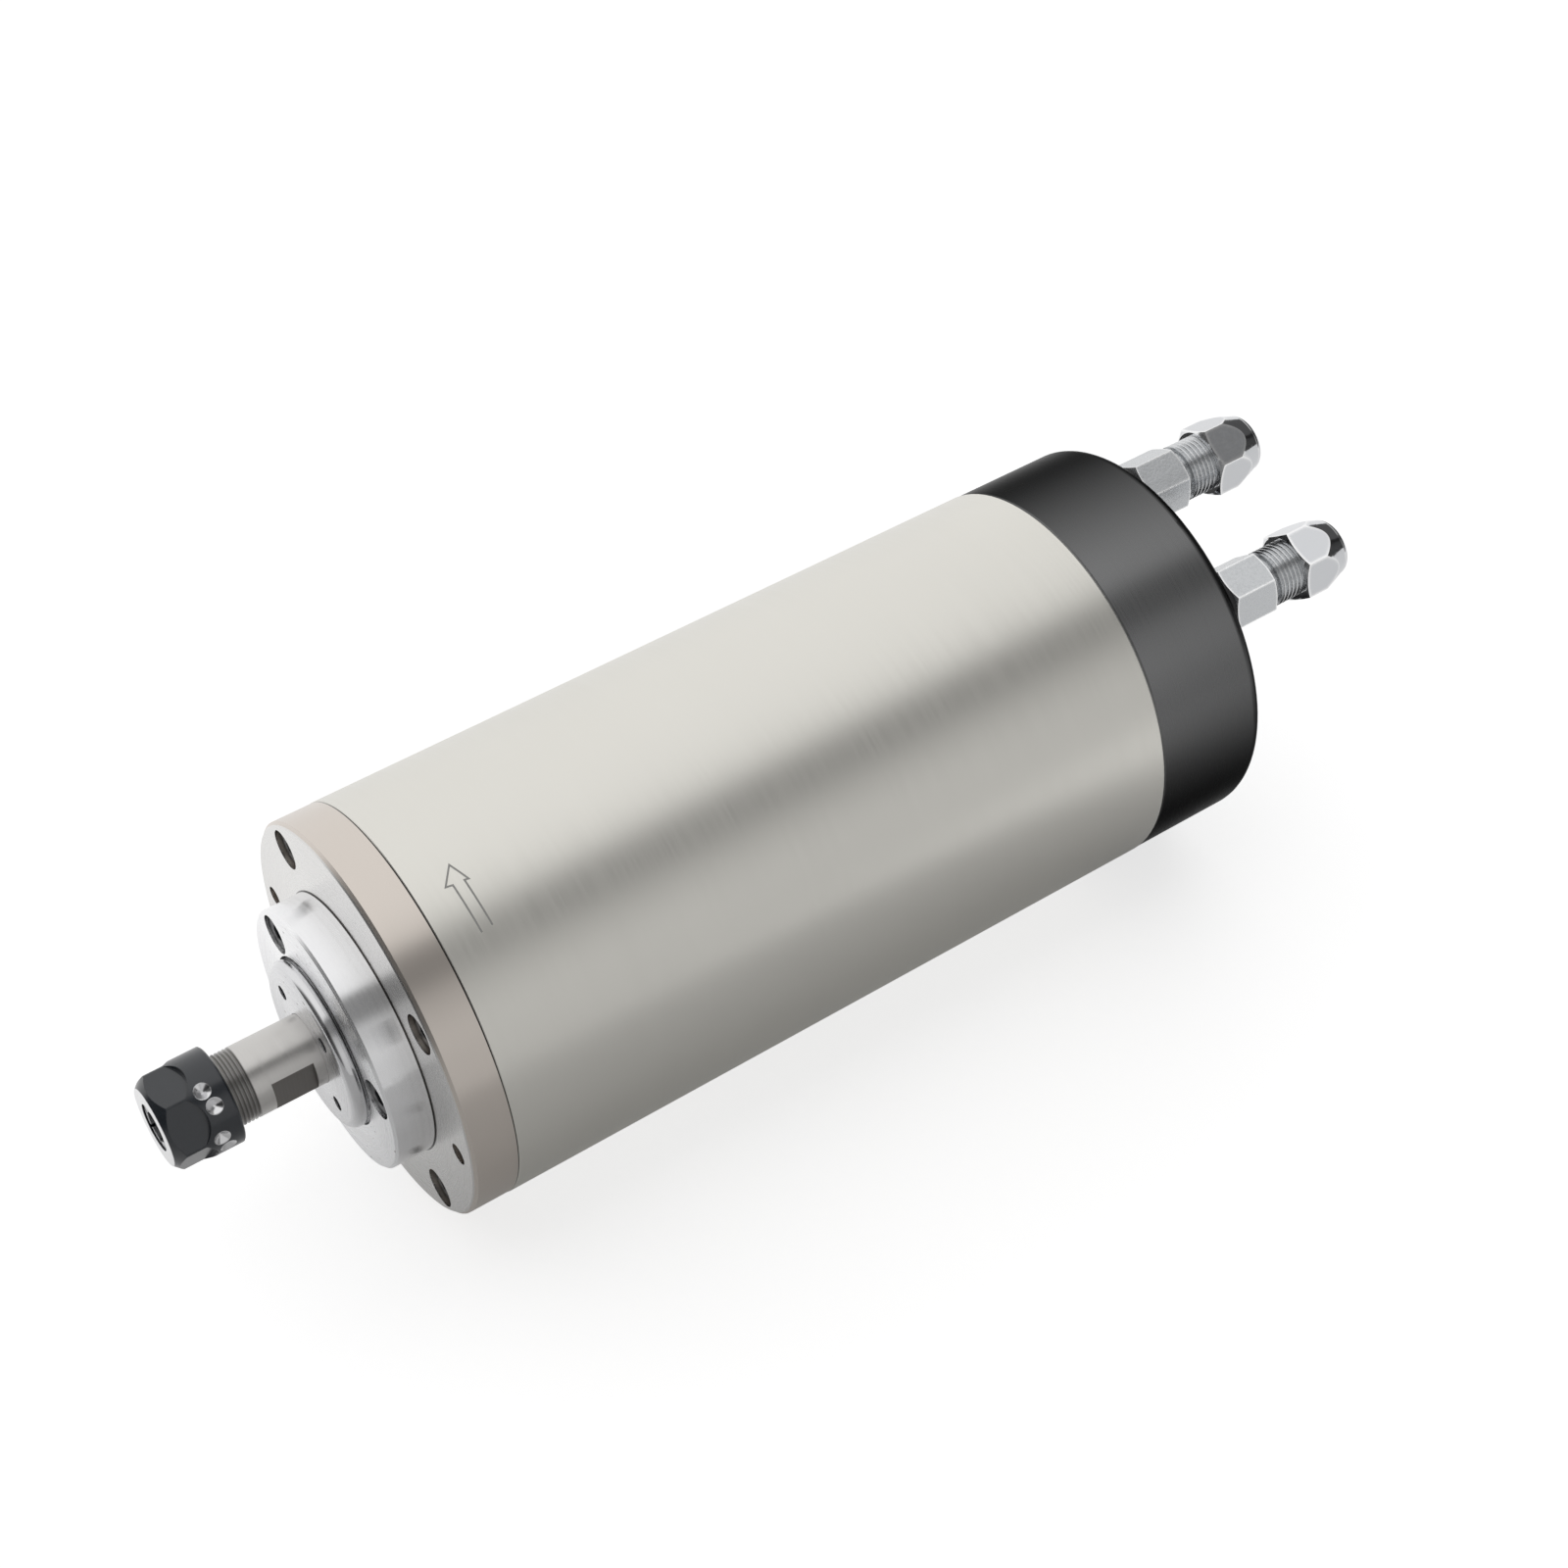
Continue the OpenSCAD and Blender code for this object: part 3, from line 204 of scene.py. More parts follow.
def new_skin(name, colour, roughness, metallic=1.0):
    """A material with one Principled shader. The marks of its making are added to it."""
    material = bpy.data.materials.new(name)
    material.use_nodes = True
    shader = material.node_tree.nodes["Principled BSDF"]
    shader.inputs["Base Color"].default_value = (*colour, 1)
    shader.inputs["Roughness"].default_value = roughness
    shader.inputs["Metallic"].default_value = metallic
    return material, material.node_tree, shader


def placed(tree, scale=(1, 1, 1), centre=(0, 0, 0)):
    """Object coordinates, counted from a piece's own axis and scaled to draw marks out."""
    node = tree.nodes.new("ShaderNodeMapping")
    node.inputs["Scale"].default_value = scale
    node.inputs["Location"].default_value = [-c * s for c, s in zip(centre, scale)]
    tree.links.new(tree.nodes.new("ShaderNodeTexCoord").outputs["Object"], node.inputs["Vector"])
    return node.outputs[0]


def split(tree, vector):
    node = tree.nodes.new("ShaderNodeSeparateXYZ")
    tree.links.new(vector, node.inputs[0])
    return node.outputs["X"], node.outputs["Y"], node.outputs["Z"]


def noise(tree, vector, scale=1.0, detail=3.0):
    node = tree.nodes.new("ShaderNodeTexNoise")
    node.inputs["Scale"].default_value = scale
    node.inputs["Detail"].default_value = detail
    tree.links.new(vector, node.inputs["Vector"])
    return node.outputs["Fac"]


def even_noise(tree, per_metre, detail=3.0):
    """Noise of the same fineness every way."""
    return noise(tree, placed(tree, (per_metre, per_metre, per_metre)), detail=detail)


def until(tree, value, start, end):
    """1 up to start and 0 from end on."""
    return ranged(tree, value, 1.0, 0.0, start, end)


def past(tree, value, start, end):
    """0 up to start and 1 from end on."""
    return ranged(tree, value, 0.0, 1.0, start, end)


def blended(tree, first, second, share):
    """The share of the first value, and the rest of the second one."""
    rest = math_node(tree, "MULTIPLY", second, 1 - share)
    return math_node(tree, "MULTIPLY_ADD", first, share, rest)


def mixed(tree, factor, first, second):
    """Goes from the first colour to the second one as the factor goes from 0 to 1."""
    node = tree.nodes.new("ShaderNodeMix")
    node.data_type = "RGBA"
    tree.links.new(factor, node.inputs["Factor"])
    for socket, colour in ((node.inputs["A"], first), (node.inputs["B"], second)):
        feed(tree, socket, (*colour, 1) if isinstance(colour, tuple) else colour)
    return node.outputs["Result"]


def darker(colour, share):
    return tuple(c * (1 - share) for c in colour)


def painted(tree, shader, colour):
    tree.links.new(colour, shader.inputs["Base Color"])


def varied(tree, value, middle, below, above):
    """A number that goes from below its middle to above it, as a noise does."""
    return ranged(tree, value, middle - below, middle + above, *NOISE_BAND)


def roughened(tree, shader, value, middle, below, above):
    tree.links.new(varied(tree, value, middle, below, above), shader.inputs["Roughness"])


def rounded_normal(tree, radius, samples):
    bevel = tree.nodes.new("ShaderNodeBevel")
    bevel.samples = samples
    bevel.inputs["Radius"].default_value = radius
    return bevel.outputs[0]


def bumped(tree, shader, value, height, edge=0.0):
    """Raises the surface by the value. An edge above 0 also rounds the look of sharp edges."""
    node = tree.nodes.new("ShaderNodeBump")
    node.inputs["Distance"].default_value = height
    tree.links.new(value, node.inputs["Height"])
    if edge:
        tree.links.new(rounded_normal(tree, edge, samples=4), node.inputs["Normal"])
    tree.links.new(node.outputs[0], shader.inputs["Normal"])


def finished(material, *names):
    for name in names:
        for slot in nodes[name].material_slots:
            slot.material = material
        if not nodes[name].material_slots:
            nodes[name].data.materials.append(material)


def satin_tube(name, colour, roughness):
    material, tree, shader = new_skin(name, colour, roughness)
    marks = noise(tree, placed(tree, SATIN_MARKS))
    clouds = even_noise(tree, SATIN_CLOUDS, detail=2.0)
    tone = mixed(tree, blended(tree, marks, clouds, share=0.4), darker(colour, 0.045), colour)
    roughened(tree, shader, marks, roughness, below=0.02, above=0.03)
    bumped(tree, shader, marks, SATIN_DEPTH)
    return material, tree, shader, tone


def sleeve_skin():
    material, tree, shader, tone = satin_tube("sleeve_steel", SLEEVE_COLOUR, SLEEVE_ROUGH)
    x = split(tree, placed(tree))[0]
    front = until(tree, x, sleeve_low.x + JOINT_W, sleeve_low.x + 2 * JOINT_W)
    rear = past(tree, x, sleeve_high.x - 3 * JOINT_W, sleeve_high.x - 2 * JOINT_W)
    tone = mixed(tree, front, tone, JOINT_COLOUR)
    # Painted highlight: the rear lip of the sleeve is painted lighter.
    painted(tree, shader, mixed(tree, rear, tone, SLEEVE_LIP_HIGHLIGHT))
    return material


finished(sleeve_skin(), "outer_sleeve")

# The arrow that shows which way the shaft turns is engraved through the sleeve's skin.
# Each corner is (place behind the sleeve's front end in mm, angle around X in degrees).
# It is drawn flat, cut into short lengths and then rolled around the sleeve.
ARROW = [(9.79, 119.6), (9.56, 106.1), (10.34, 106.3), (8.76, 100.6), (6.00, 105.7),
         (7.31, 106.0), (7.52, 120.1)]
ARROW_LINE_W = 0.34 * MM
ARROW_SKIN = 0.02 * MM
ARROW_SINK = 0.05 * MM
ARROW_CUTS = 12
ARROW_POINT = 0.5
ARROW_COLOUR = (0.44, 0.435, 0.42)
ARROW_HATCH = 9000
ARROW_DEPTH = 0.01 * MM


def engraved_arrow():
    radius = sleeve_high.z
    corners = [Vector((sleeve_low.x + place * MM, math.radians(angle) * radius, 0))
               for place, angle in ARROW]
    mesh = bmesh.new()
    rows = []
    for index, corner in enumerate(corners):
        before = (corner - corners[index - 1]).normalized() if index else None
        after = (corners[index + 1] - corner).normalized() if index + 1 < len(corners) else None
        along = ((before or after) + (after or before)).normalized()
        side = Vector((-along.y, along.x, 0))
        reach = ARROW_LINE_W / 2 / max(along.dot(before or after), ARROW_POINT)
        rows.append([mesh.verts.new(corner + sign * reach * side) for sign in (1, -1)])
    for (left, right), (next_left, next_right) in zip(rows, rows[1:]):
        mesh.faces.new((left, right, next_right, next_left))
    long_edges = [edge for edge in mesh.edges if edge.calc_length() > 2 * ARROW_LINE_W]
    bmesh.ops.subdivide_edges(mesh, edges=long_edges, cuts=ARROW_CUTS, use_grid_fill=True)
    raised = bmesh.ops.extrude_face_region(mesh, geom=mesh.faces[:])["geom"]
    tops = [part for part in raised if isinstance(part, bmesh.types.BMVert)]
    bmesh.ops.translate(mesh, verts=tops, vec=(0, 0, ARROW_SKIN + ARROW_SINK))
    for vert in mesh.verts:
        angle, height = vert.co.y / radius, radius - ARROW_SINK + vert.co.z
        vert.co = (vert.co.x, height * math.cos(angle), height * math.sin(angle))
    bmesh.ops.recalc_face_normals(mesh, faces=mesh.faces)
    data = bpy.data.meshes.new("engraved_arrow")
    mesh.to_mesh(data)
    mesh.free()
    arrow = bpy.data.objects.new("engraved_arrow", data)
    bpy.context.scene.collection.objects.link(arrow)
    material, tree, shader = new_skin("engraving", ARROW_COLOUR, roughness=0.6, metallic=0.4)
    hatch = even_noise(tree, ARROW_HATCH)
    painted(tree, shader, mixed(tree, hatch, darker(ARROW_COLOUR, 0.35), ARROW_COLOUR))
    bumped(tree, shader, hatch, ARROW_DEPTH)
    data.materials.append(material)
    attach(arrow, "housing")


engraved_arrow()

# The nose flange is turned from one piece of steel and carries the front bearings.
# Its rim is ground like the sleeve, its face is bare and shows the lathe's rings. The bevel of its
# edge is painted dark, a painted dark reflection. A dark joint line runs around the bearing cap and
# along the joint to the sleeve.
FLANGE_RIM_COLOUR = (0.685, 0.628, 0.575)
FLANGE_FACE_COLOUR = (0.80, 0.79, 0.775)
FLANGE_RIM_ROUGH = 0.30
FLANGE_FACE_ROUGH = 0.24
FLANGE_EDGE = 0.3 * MM
FLANGE_RINGS = 2600
CAP_JOINT_W = 0.25 * MM
FLANGE_GRAIN = 0.45
GRAIN_X = 30 * MM  # how much the grain runs along X, beside its run outwards from the axis
flange_low, flange_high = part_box("nose_flange")
cap_low, cap_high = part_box("bearing_cap")


def both_of(tree, first, second):
    return math_node(tree, "MULTIPLY", first, second)


def joined(tree, *values):
    node = tree.nodes.new("ShaderNodeCombineXYZ")
    for socket, value in zip(node.inputs, values):
        feed(tree, socket, value)
    return node.outputs[0]


def turned_rings(tree, per_metre, centre=(0, 0, 0)):
    """Noise by radius and by place along X alone, as a lathe tool leaves it."""
    x, y, z = split(tree, placed(tree, centre=centre))
    squares = math_node(tree, "ADD", both_of(tree, y, y), both_of(tree, z, z))
    radius = math_node(tree, "SQRT", squares)
    return noise(tree, joined(tree, radius, x, 0), per_metre, detail=4.0), radius, x


def grained(tree, shader, amount, centre=(0, 0, 0)):
    """Draws reflections out across turning marks: outwards on a face, along X on a rim."""
    y, z = split(tree, placed(tree, centre=centre))[1:]
    node = tree.nodes.new("ShaderNodeVectorTransform")
    node.vector_type, node.convert_from, node.convert_to = "VECTOR", "OBJECT", "WORLD"
    tree.links.new(joined(tree, GRAIN_X, y, z), node.inputs[0])
    shader.inputs["Anisotropic"].default_value = amount
    tree.links.new(node.outputs[0], shader.inputs["Tangent"])


def rim_and_face(tree, shader, on_face, rim_rough, face_rough):
    """One roughness on the rim and another one on the face."""
    blend = tree.nodes.new("ShaderNodeMix")
    tree.links.new(on_face, blend.inputs["Factor"])
    feed(tree, blend.inputs["A"], rim_rough)
    feed(tree, blend.inputs["B"], face_rough)
    tree.links.new(blend.outputs["Result"], shader.inputs["Roughness"])


def flange_skin():
    material, tree, shader, tone = satin_tube("flange_steel", FLANGE_RIM_COLOUR, FLANGE_RIM_ROUGH)
    rings, radius, x = turned_rings(tree, FLANGE_RINGS)
    face_tone = mixed(tree, rings, darker(FLANGE_FACE_COLOUR, 0.16), FLANGE_FACE_COLOUR)
    on_face = until(tree, x, flange_low.x + 0.7 * FLANGE_EDGE, flange_low.x + FLANGE_EDGE)
    bevel_reflection = both_of(tree, on_face, past(tree, radius, flange_high.z - 1.6 * FLANGE_EDGE,
                                          flange_high.z - 1.3 * FLANGE_EDGE))
    rear = past(tree, x, sleeve_low.x - JOINT_W, sleeve_low.x - 0.5 * JOINT_W)
    tone = mixed(tree, on_face, tone, face_tone)
    # Painted reflection: the bevel of the flange's edge is painted dark.
    tone = mixed(tree, bevel_reflection, tone, darker(FLANGE_RIM_COLOUR, 0.90))
    around_cap = math_node(tree, "COMPARE", radius, cap_high.z, CAP_JOINT_W)
    tone = mixed(tree, both_of(tree, on_face, around_cap), tone, JOINT_COLOUR)
    painted(tree, shader, mixed(tree, rear, tone, JOINT_COLOUR))
    rim_and_face(tree, shader, on_face, FLANGE_RIM_ROUGH,
                 varied(tree, rings, FLANGE_FACE_ROUGH, below=0.05, above=0.08))
    grained(tree, shader, FLANGE_GRAIN)
    return material


finished(flange_skin(), "nose_flange")

# The bearing cap is turned bright and held by three sunk screws. The slinger ring sits in it
# and turns with the shaft. Both have small pits and a few specks of dirt on their faces.
CAP_COLOUR = (0.96, 0.96, 0.97)
SLINGER_COLOUR = (0.76, 0.76, 0.77)
SPECK_COLOUR = (0.30, 0.29, 0.28)
SPECKS = 850
SPECK_LEVEL = 0.735
SPECK_EDGE = 0.03
BRIGHT_RINGS = 2200
BRIGHT_DEPTH = 0.002 * MM
BRIGHT_BEVEL = 0.3 * MM


def bright_turned(name, colour, rim_rough, face_rough, face_x, grain=0.6):
    """Bright turned steel: smooth on its rims, with the tool's rings on its front face."""
    material, tree, shader = new_skin(name, colour, rim_rough)
    rings, _, x = turned_rings(tree, BRIGHT_RINGS)
    on_face = until(tree, x, face_x + 0.5 * BRIGHT_BEVEL, face_x + BRIGHT_BEVEL)
    tone = mixed(tree, rings, darker(colour, 0.12), colour)
    dirt = past(tree, even_noise(tree, SPECKS, detail=1.0), SPECK_LEVEL, SPECK_LEVEL + SPECK_EDGE)
    dirt = both_of(tree, dirt, on_face)
    at_flange = math_node(tree, "COMPARE", x, flange_low.x, CAP_JOINT_W)
    tone = mixed(tree, at_flange, tone, JOINT_COLOUR)
    painted(tree, shader, mixed(tree, dirt, tone, SPECK_COLOUR))
    rim_and_face(tree, shader, on_face, varied(tree, rings, rim_rough, below=0.02, above=0.04),
                 varied(tree, rings, face_rough, below=0.06, above=0.08))
    bumped(tree, shader, rings, BRIGHT_DEPTH)
    grained(tree, shader, grain)
    return material


finished(bright_turned("cap_steel", CAP_COLOUR, rim_rough=0.22, face_rough=0.26,
                       face_x=cap_low.x, grain=0.9), "bearing_cap")
finished(bright_turned("slinger_steel", SLINGER_COLOUR, rim_rough=0.16, face_rough=0.28,
                       face_x=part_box("slinger_ring")[0].x), "slinger_ring")

# The shaft is hardened steel, ground on its seats. The thread for the collet nut keeps the
# darker skin of hardening. The two milled wrench flats are painted darker still, a painted dark
# reflection. The flats lie on both sides of the axis along Y.
SHAFT_COLOUR = (0.66, 0.645, 0.625)
SHAFT_ROUGH = 0.34
THREAD_COLOUR = (0.38, 0.37, 0.36)
FLAT_REFLECTION_COLOUR = (0.21, 0.20, 0.19)
THREAD_END = -106.6 * MM
FLATS_FROM, FLATS_TO = -103.7 * MM, -95.2 * MM
FLAT_OFF_FROM, FLAT_OFF_TO = 5.94 * MM, 5.98 * MM
SHAFT_FADE = 0.1 * MM
GRIND_MARKS = (3200, 40, 40)
GRIND_CLOUDS = 90
GRIND_DEPTH = 0.003 * MM
GRIND_GRAIN = 0.5


def ground_steel(name, colour, roughness):
    """Fine grinding marks that run around the X axis, with a faint cloudiness."""
    material, tree, shader = new_skin(name, colour, roughness)
    marks = noise(tree, placed(tree, GRIND_MARKS))
    clouds = even_noise(tree, GRIND_CLOUDS, detail=2.0)
    tone = mixed(tree, blended(tree, marks, clouds, share=0.7), darker(colour, 0.16), colour)
    painted(tree, shader, tone)
    roughened(tree, shader, marks, roughness, below=0.05, above=0.07)
    bumped(tree, shader, marks, GRIND_DEPTH)
    grained(tree, shader, GRIND_GRAIN)
    return material, tree, shader, tone


def shaft_skin():
    material, tree, shader, tone = ground_steel("shaft_steel", SHAFT_COLOUR, SHAFT_ROUGH)
    x, y = split(tree, placed(tree))[:2]
    on_thread = until(tree, x, THREAD_END - SHAFT_FADE, THREAD_END)
    flat_reflection = both_of(tree, past(tree, x, FLATS_FROM, FLATS_FROM + SHAFT_FADE),
                      until(tree, x, FLATS_TO - SHAFT_FADE, FLATS_TO))
    side = math_node(tree, "ABSOLUTE", y)
    flat_reflection = both_of(tree, flat_reflection, past(tree, side, FLAT_OFF_FROM, FLAT_OFF_TO))
    tone = mixed(tree, on_thread, tone, THREAD_COLOUR)
    # Painted reflection: the wrench flats are painted dark.
    painted(tree, shader, mixed(tree, flat_reflection, tone, FLAT_REFLECTION_COLOUR))
    return material


finished(shaft_skin(), "spindle_shaft")

# The collet nut is blackened steel and screws on the shaft. Its balance dimples are drilled
# after blackening, and its front face is ground bare. Each dimple is (angle around X in
# degrees, place along X).
BLACK_COLOUR = (0.016, 0.021, 0.029)
BLACK_ROUGH = 0.22
BLACK_GLOSS = 0.8
BLACK_CLOUDS = 900
BLACK_DEPTH = 0.006 * MM
BARE_COLOUR = (0.74, 0.74, 0.75)
BARE_ROUGH = 0.12
DIMPLES = [(115, -115.4 * MM), (135, -114.6 * MM), (175, -115.4 * MM), (195, -114.6 * MM)]
DIMPLE_R = 1.58 * MM
NUT_FACE = 0.06 * MM
NUT_EDGE = 0.25 * MM
nut_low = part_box("collet_nut")[0]


def vector_node(tree, operation, *values):
    """One vector node. A length and a dot product give a number."""
    node = tree.nodes.new("ShaderNodeVectorMath")
    node.operation = operation
    for socket, value in zip(node.inputs, values):
        feed(tree, socket, value)
    return node.outputs["Vector" if operation == "CROSS_PRODUCT" else "Value"]


def blackened(name, colour, roughness, edge):
    material, tree, shader = new_skin(name, colour, roughness, metallic=0.0)
    clouds = even_noise(tree, BLACK_CLOUDS, detail=5.0)
    tone = mixed(tree, clouds, darker(colour, 0.45), colour)
    painted(tree, shader, tone)
    roughened(tree, shader, clouds, roughness, below=0.06, above=0.09)
    bumped(tree, shader, clouds, BLACK_DEPTH, edge)
    return material, tree, shader, tone


def nut_skin():
    material, tree, shader, tone = blackened("nut_black", BLACK_COLOUR, BLACK_ROUGH, NUT_EDGE)
    shader.inputs["Specular IOR Level"].default_value = BLACK_GLOSS
    place = placed(tree)
    bare = until(tree, split(tree, place)[0], nut_low.x + NUT_FACE, nut_low.x + 2 * NUT_FACE)
    for angle, x in DIMPLES:
        way = (0, math.cos(math.radians(angle)), math.sin(math.radians(angle)))
        off_axis = vector_node(tree, "CROSS_PRODUCT", placed(tree, centre=(x, 0, 0)), way)
        near = math_node(tree, "LESS_THAN", vector_node(tree, "LENGTH", off_axis), DIMPLE_R)
        ahead = math_node(tree, "GREATER_THAN", vector_node(tree, "DOT_PRODUCT", place, way), 0.0)
        bare = math_node(tree, "MAXIMUM", bare, both_of(tree, near, ahead))
    painted(tree, shader, mixed(tree, bare, tone, BARE_COLOUR))
    tree.links.new(bare, shader.inputs["Metallic"])
    tree.links.new(ranged(tree, bare, BLACK_ROUGH, BARE_ROUGH), shader.inputs["Roughness"])
    return material


finished(nut_skin(), "collet_nut")

# The collet is spring steel, slotted from both ends and ground bright. The nut presses it
# into the shaft's taper, and pulls it out again by the groove around it.
COLLET_COLOUR = (0.50, 0.50, 0.51)
finished(bright_turned("collet_steel", COLLET_COLOUR, rim_rough=0.24, face_rough=0.24,
                       face_x=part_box("collet")[0].x), "collet")

# The socket head screws are alloy steel with a black oxide skin. They hold the flange, the
# bearing cap and the rear parts. The lock nut behind the rear bearing has the same skin.
SCREW_COLOUR = (0.030, 0.031, 0.034)
finished(blackened("screw_black", SCREW_COLOUR, roughness=0.36, edge=0.1 * MM)[0],
         "flange_screws", "bearing_cap_screws", "rear_housing_screws", "rear_cover_screws",
         "rear_cap_screws", "rear_lock_nut")

# The rear cap is turned aluminium with a black anodised skin. The skin is a dark metal whose colour
# is painted lighter where it faces the eye and darker towards the rim of sight, a painted shade,
# and it shows the lathe's fine rings.
REAR_COLOUR = (0.395, 0.397, 0.400)
REAR_EDGE_TINT = 0.42
REAR_SHADE_FALL = 3.8
REAR_ROUGH = 0.28
REAR_RINGS = 1800
REAR_DEPTH = 0.001 * MM


def anodised():
    material, tree, shader = new_skin("black_anodised", REAR_COLOUR, REAR_ROUGH)
    rings = turned_rings(tree, REAR_RINGS)[0]
    # Painted shade: the skin's colour darkens towards the rim of sight, by the Layer Weight's
    # facing.
    facing = tree.nodes.new("ShaderNodeLayerWeight").outputs["Facing"]
    facing_light = math_node(tree, "POWER", math_node(tree, "SUBTRACT", 1.0, facing), REAR_SHADE_FALL)
    skin = mixed(tree, rings, darker(REAR_COLOUR, 0.04), REAR_COLOUR)
    shader.inputs["Specular Tint"].default_value = grey(REAR_EDGE_TINT)
    painted(tree, shader, mixed(tree, facing_light, darker(REAR_COLOUR, 0.93), skin))
    roughened(tree, shader, rings, REAR_ROUGH, below=0.015, above=0.015)
    bumped(tree, shader, rings, REAR_DEPTH)
    return material


finished(anodised(), "rear_cap")

# The two water fittings are nickel plated brass and screw into the rear cap. The bodies are
# pitted where the bar's skin was left under the plating, and the hose nuts are polished.
# Sharp edges carry a painted highlight in white, and those of the thread behind the hexagon less
# so.
NICKEL_COLOUR = (0.66, 0.675, 0.69)
POLISHED_COLOUR = (0.66, 0.67, 0.69)
EDGE_HIGHLIGHT_COLOUR = (1.0, 1.0, 1.0)
EDGE_FROM, EDGE_TO = 0.97, 0.999
HEXAGON_END = 109.5 * MM
THREAD_EDGES = 0.45
THREAD_FADE = 0.1 * MM
PLATED_GRIT = 1700
PLATED_WAVES = 260
PLATED_DEPTH = 0.03 * MM


def highlighted_edges(tree, radius, end):
    """1 along sharp edges, less along a thread behind the place end on X, and 0 elsewhere."""
    normal = tree.nodes.new("ShaderNodeNewGeometry").outputs["Normal"]
    same = vector_node(tree, "DOT_PRODUCT", rounded_normal(tree, radius, samples=6), normal)
    sharp = ranged(tree, same, 1.0, 0.0, EDGE_FROM, EDGE_TO)
    x = split(tree, placed(tree))[0]
    return both_of(tree, sharp, ranged(tree, x, 1.0, THREAD_EDGES, end, end + THREAD_FADE))


def plated(name, colour, roughness, pits, edge, end=1.0):
    """Plated or cast metal. The pits darken and roughen it, and an edge above 0 paints a white
    highlight along sharp edges.
    """
    material, tree, shader = new_skin(name, colour, roughness)
    grit = even_noise(tree, PLATED_GRIT, detail=4.0)
    waves = even_noise(tree, PLATED_WAVES, detail=1.0)
    tone = mixed(tree, grit, darker(colour, 0.5 * pits), colour)
    if edge:
        # Painted highlight: sharp edges are painted white.
        tone = mixed(tree, highlighted_edges(tree, edge, end), tone, EDGE_HIGHLIGHT_COLOUR)
    painted(tree, shader, tone)
    roughened(tree, shader, grit, roughness, below=0.03, above=0.25 * pits + 0.02)
    bumped(tree, shader, math_node(tree, "MULTIPLY_ADD", grit, pits, waves), PLATED_DEPTH)
    return material


finished(plated("pitted_nickel", NICKEL_COLOUR, roughness=0.20, pits=0.45, edge=0.7 * MM,
                end=HEXAGON_END), "fitting_body_a", "fitting_body_b")
finished(plated("polished_nickel", POLISHED_COLOUR, roughness=0.09, pits=0.05, edge=1.2 * MM),
         "hose_nut_a", "hose_nut_b")

# The seals are moulded rubber: a washer under each fitting, the two O-rings of the water
# jacket, and the gasket of the power socket. Each is pressed between the pieces it seals.
RUBBER_COLOUR = (0.022, 0.022, 0.023)


def moulded(name, colour, roughness, grain, depth):
    """Moulded rubber or plastic with an even grain, counted per metre."""
    material, tree, shader = new_skin(name, colour, roughness, metallic=0.0)
    skin = even_noise(tree, grain, detail=4.0)
    painted(tree, shader, mixed(tree, skin, darker(colour, 0.25), colour))
    roughened(tree, shader, skin, roughness, below=0.08, above=0.10)
    bumped(tree, shader, skin, depth)
    return material


finished(moulded("seal_rubber", RUBBER_COLOUR, roughness=0.62, grain=2400, depth=0.01 * MM),
         "fitting_washers", "jacket_seals", "socket_gasket")

# The power socket in the rear cap has a plated shell with a lock nut. Its insulator is
# moulded plastic, and the four contact pins in it have a gold skin.
PLASTIC_COLOUR = (0.026, 0.026, 0.028)
GOLD_COLOUR = (0.83, 0.62, 0.24)
finished(plated("socket_nickel", POLISHED_COLOUR, roughness=0.14, pits=0.15, edge=0.15 * MM),
         "socket_shell", "socket_lock_nut")
finished(moulded("black_plastic", PLASTIC_COLOUR, roughness=0.42, grain=1500, depth=0.006 * MM),
         "socket_insulator")
finished(plated("gold_skin", GOLD_COLOUR, roughness=0.15, pits=0.1, edge=0.05 * MM), "socket_pins")

# A ferrule of turned brass lies in each hose nut, which closes it on the hose. The balance
# rings are brass as well. They sit on both ends of the rotor and are drilled to balance it.
BRASS_COLOUR = (0.74, 0.55, 0.27)
LATHE_RINGS = 2500
LATHE_CLOUDS = 70
LATHE_GRAIN = 0.4


def lathe_turned(name, colour, roughness, centre=(0, 0, 0), tone_depth=0.12, depth=0.004 * MM):
    material, tree, shader = new_skin(name, colour, roughness)
    rings = turned_rings(tree, LATHE_RINGS, centre)[0]
    clouds = even_noise(tree, LATHE_CLOUDS)
    tone = blended(tree, rings, clouds, share=0.6)
    painted(tree, shader, mixed(tree, tone, darker(colour, tone_depth), colour))
    roughened(tree, shader, rings, roughness, below=0.05, above=0.08)
    bumped(tree, shader, rings, depth)
    grained(tree, shader, LATHE_GRAIN, centre)
    return material


def middle(name):
    low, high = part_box(name)
    return (low + high) / 2


for ferrule in ("ferrule_a", "ferrule_b"):
    finished(lathe_turned("brass_" + ferrule, BRASS_COLOUR, roughness=0.22,
                          centre=middle(ferrule)), ferrule)
finished(lathe_turned("brass_rings", BRASS_COLOUR, roughness=0.26), "balance_rings")

# The bearing rings and balls are polished bearing steel, and the cages are resin. The spacers
# between the front bearings and the disc spring at the rear one are ground.
BEARING_COLOUR = (0.76, 0.76, 0.77)
BALL_COLOUR = (0.80, 0.80, 0.81)
RESIN_COLOUR = (0.36, 0.20, 0.09)
SPACER_COLOUR = (0.62, 0.62, 0.62)
finished(lathe_turned("bearing_steel", BEARING_COLOUR, roughness=0.10, tone_depth=0.05,
                      depth=0.001 * MM),
         "front_outer_rings", "front_inner_rings", "rear_outer_ring", "rear_inner_ring")
finished(plated("ball_steel", BALL_COLOUR, roughness=0.06, pits=0.03, edge=0.0),
         "front_balls", "rear_balls")
finished(moulded("cage_resin", RESIN_COLOUR, roughness=0.50, grain=1200, depth=0.01 * MM),
         "front_cages", "rear_cage")
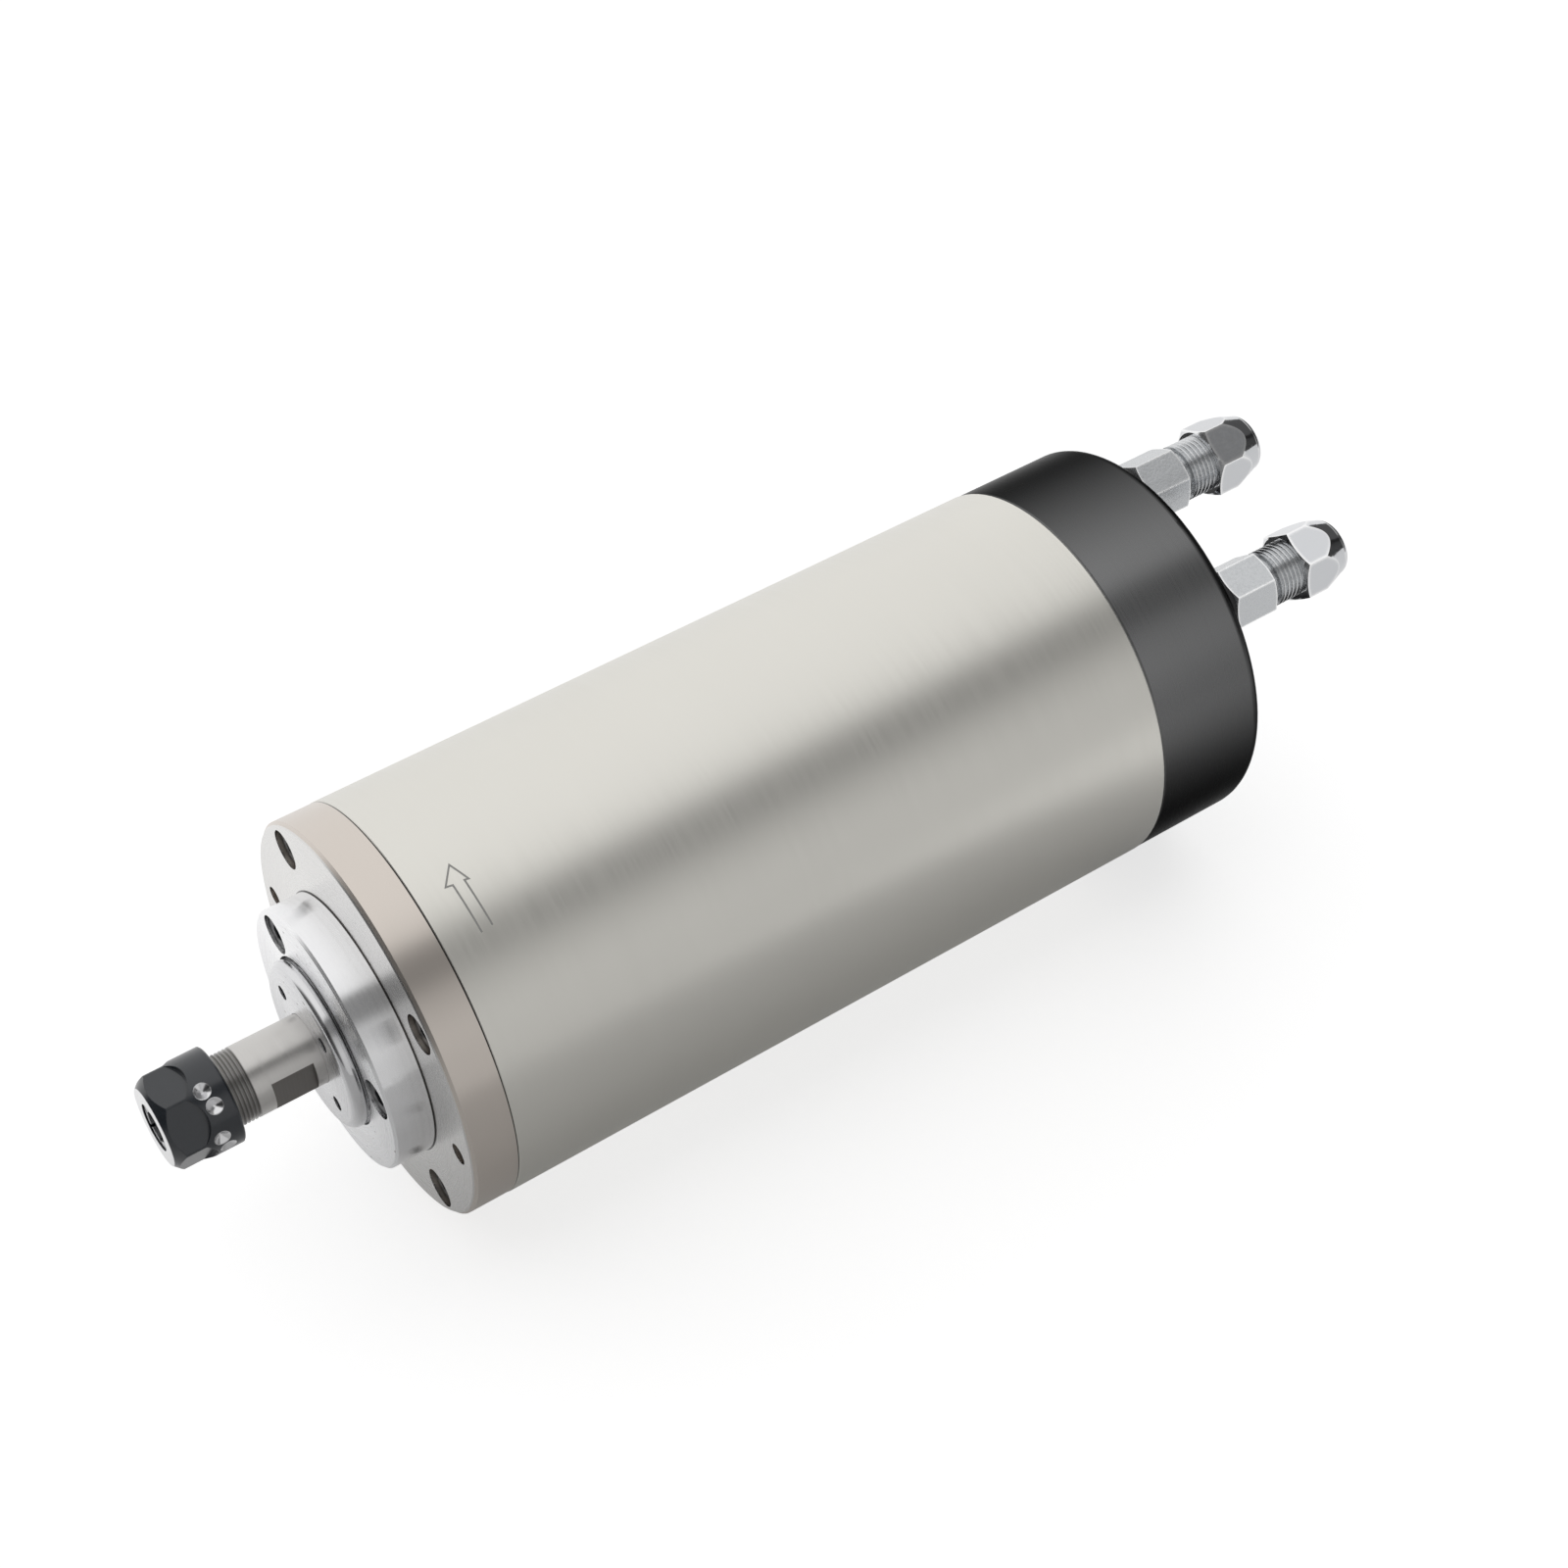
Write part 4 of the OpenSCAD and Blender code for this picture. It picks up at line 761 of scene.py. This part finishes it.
finished(ground_steel("spacer_steel", SPACER_COLOUR, roughness=0.24)[0],
         "outer_spacer", "inner_spacer", "preload_spring")

# The water jacket, the rear bearing housing and its cover are turned aluminium. Water leaves
# a dull film on the jacket.
JACKET_COLOUR = (0.63, 0.645, 0.655)
HOUSING_COLOUR = (0.70, 0.71, 0.72)
finished(lathe_turned("jacket_alloy", JACKET_COLOUR, roughness=0.40, tone_depth=0.22),
         "water_jacket")
finished(lathe_turned("housing_alloy", HOUSING_COLOUR, roughness=0.30),
         "rear_housing", "rear_cover")

# The rotor and stator cores are stacks of varnished sheet, half a millimetre thick each.
# The rotor's cage of bars and end rings is cast aluminium, poured through the rotor's stack.
SHEET_T = 0.5 * MM
SHEET_GAP = 0.12
SHEET_DEPTH = 0.03 * MM
VARNISH_CLOUDS = 500
CORE_COLOUR = (0.17, 0.175, 0.19)
CORE_ROUGH = 0.42
CAST_COLOUR = (0.66, 0.67, 0.68)


def stacked():
    material, tree, shader = new_skin("stacked_sheet", CORE_COLOUR, CORE_ROUGH, metallic=0.8)
    x = split(tree, placed(tree))[0]
    through = math_node(tree, "FRACT", math_node(tree, "DIVIDE", x, SHEET_T))
    sheet = math_node(tree, "GREATER_THAN", through, SHEET_GAP)
    varnish = even_noise(tree, VARNISH_CLOUDS)
    tone = mixed(tree, varnish, darker(CORE_COLOUR, 0.4), CORE_COLOUR)
    painted(tree, shader, mixed(tree, sheet, darker(CORE_COLOUR, 0.8), tone))
    roughened(tree, shader, varnish, CORE_ROUGH, below=0.08, above=0.10)
    bumped(tree, shader, sheet, SHEET_DEPTH)
    return material


finished(stacked(), "stator_core", "rotor_core")
finished(plated("cast_alloy", CAST_COLOUR, roughness=0.38, pits=0.6, edge=0.2 * MM), "rotor_cage")

# The winding is enamelled copper wire, wound into the stator's slots. Its lead wires have a
# red cover of plastic and run to the power socket.
WIRE_COLOUR = (0.66, 0.27, 0.11)
WIRE_ROUGH = 0.28
GROOVE_ROUGH, CROWN_ROUGH = 0.42, 0.24
WIRE_T = 0.8 * MM
WIRE_SWAY = 2 * MM
WIRE_SWAYS = 60
WIRE_DEPTH = 0.15 * MM
COVER_COLOUR = (0.50, 0.06, 0.05)


def wound():
    material, tree, shader = new_skin("enamelled_wire", WIRE_COLOUR, WIRE_ROUGH, metallic=0.9)
    y, z = split(tree, placed(tree))[1:]
    around = math_node(tree, "MULTIPLY", math_node(tree, "ARCTAN2", z, y), cad_high.z / 2)
    around = math_node(tree, "MULTIPLY_ADD", even_noise(tree, WIRE_SWAYS), WIRE_SWAY, around)
    wire = math_node(tree, "SINE", math_node(tree, "MULTIPLY", around, 2 * math.pi / WIRE_T))
    crown = past(tree, wire, -1.0, 0.2)
    # Painted shade: the grooves between turns of wire are painted darker than the crowns.
    painted(tree, shader, mixed(tree, crown, darker(WIRE_COLOUR, 0.6), WIRE_COLOUR))
    worn = ranged(tree, wire, GROOVE_ROUGH, CROWN_ROUGH, -1.0, 1.0)
    tree.links.new(worn, shader.inputs["Roughness"])
    bumped(tree, shader, wire, WIRE_DEPTH)
    return material


finished(wound(), "stator_winding")
finished(moulded("wire_cover", COVER_COLOUR, roughness=0.40, grain=800, depth=0.008 * MM),
         "lead_wires")

# The two water pipes inside the rear cap are drawn copper. Each leads from a fitting to the
# rear bearing housing, where the water goes on to the jacket or comes back from it.
COPPER_COLOUR = (0.74, 0.38, 0.24)
finished(plated("drawn_copper", COPPER_COLOUR, roughness=0.24, pits=0.2, edge=0.1 * MM),
         "water_pipes")
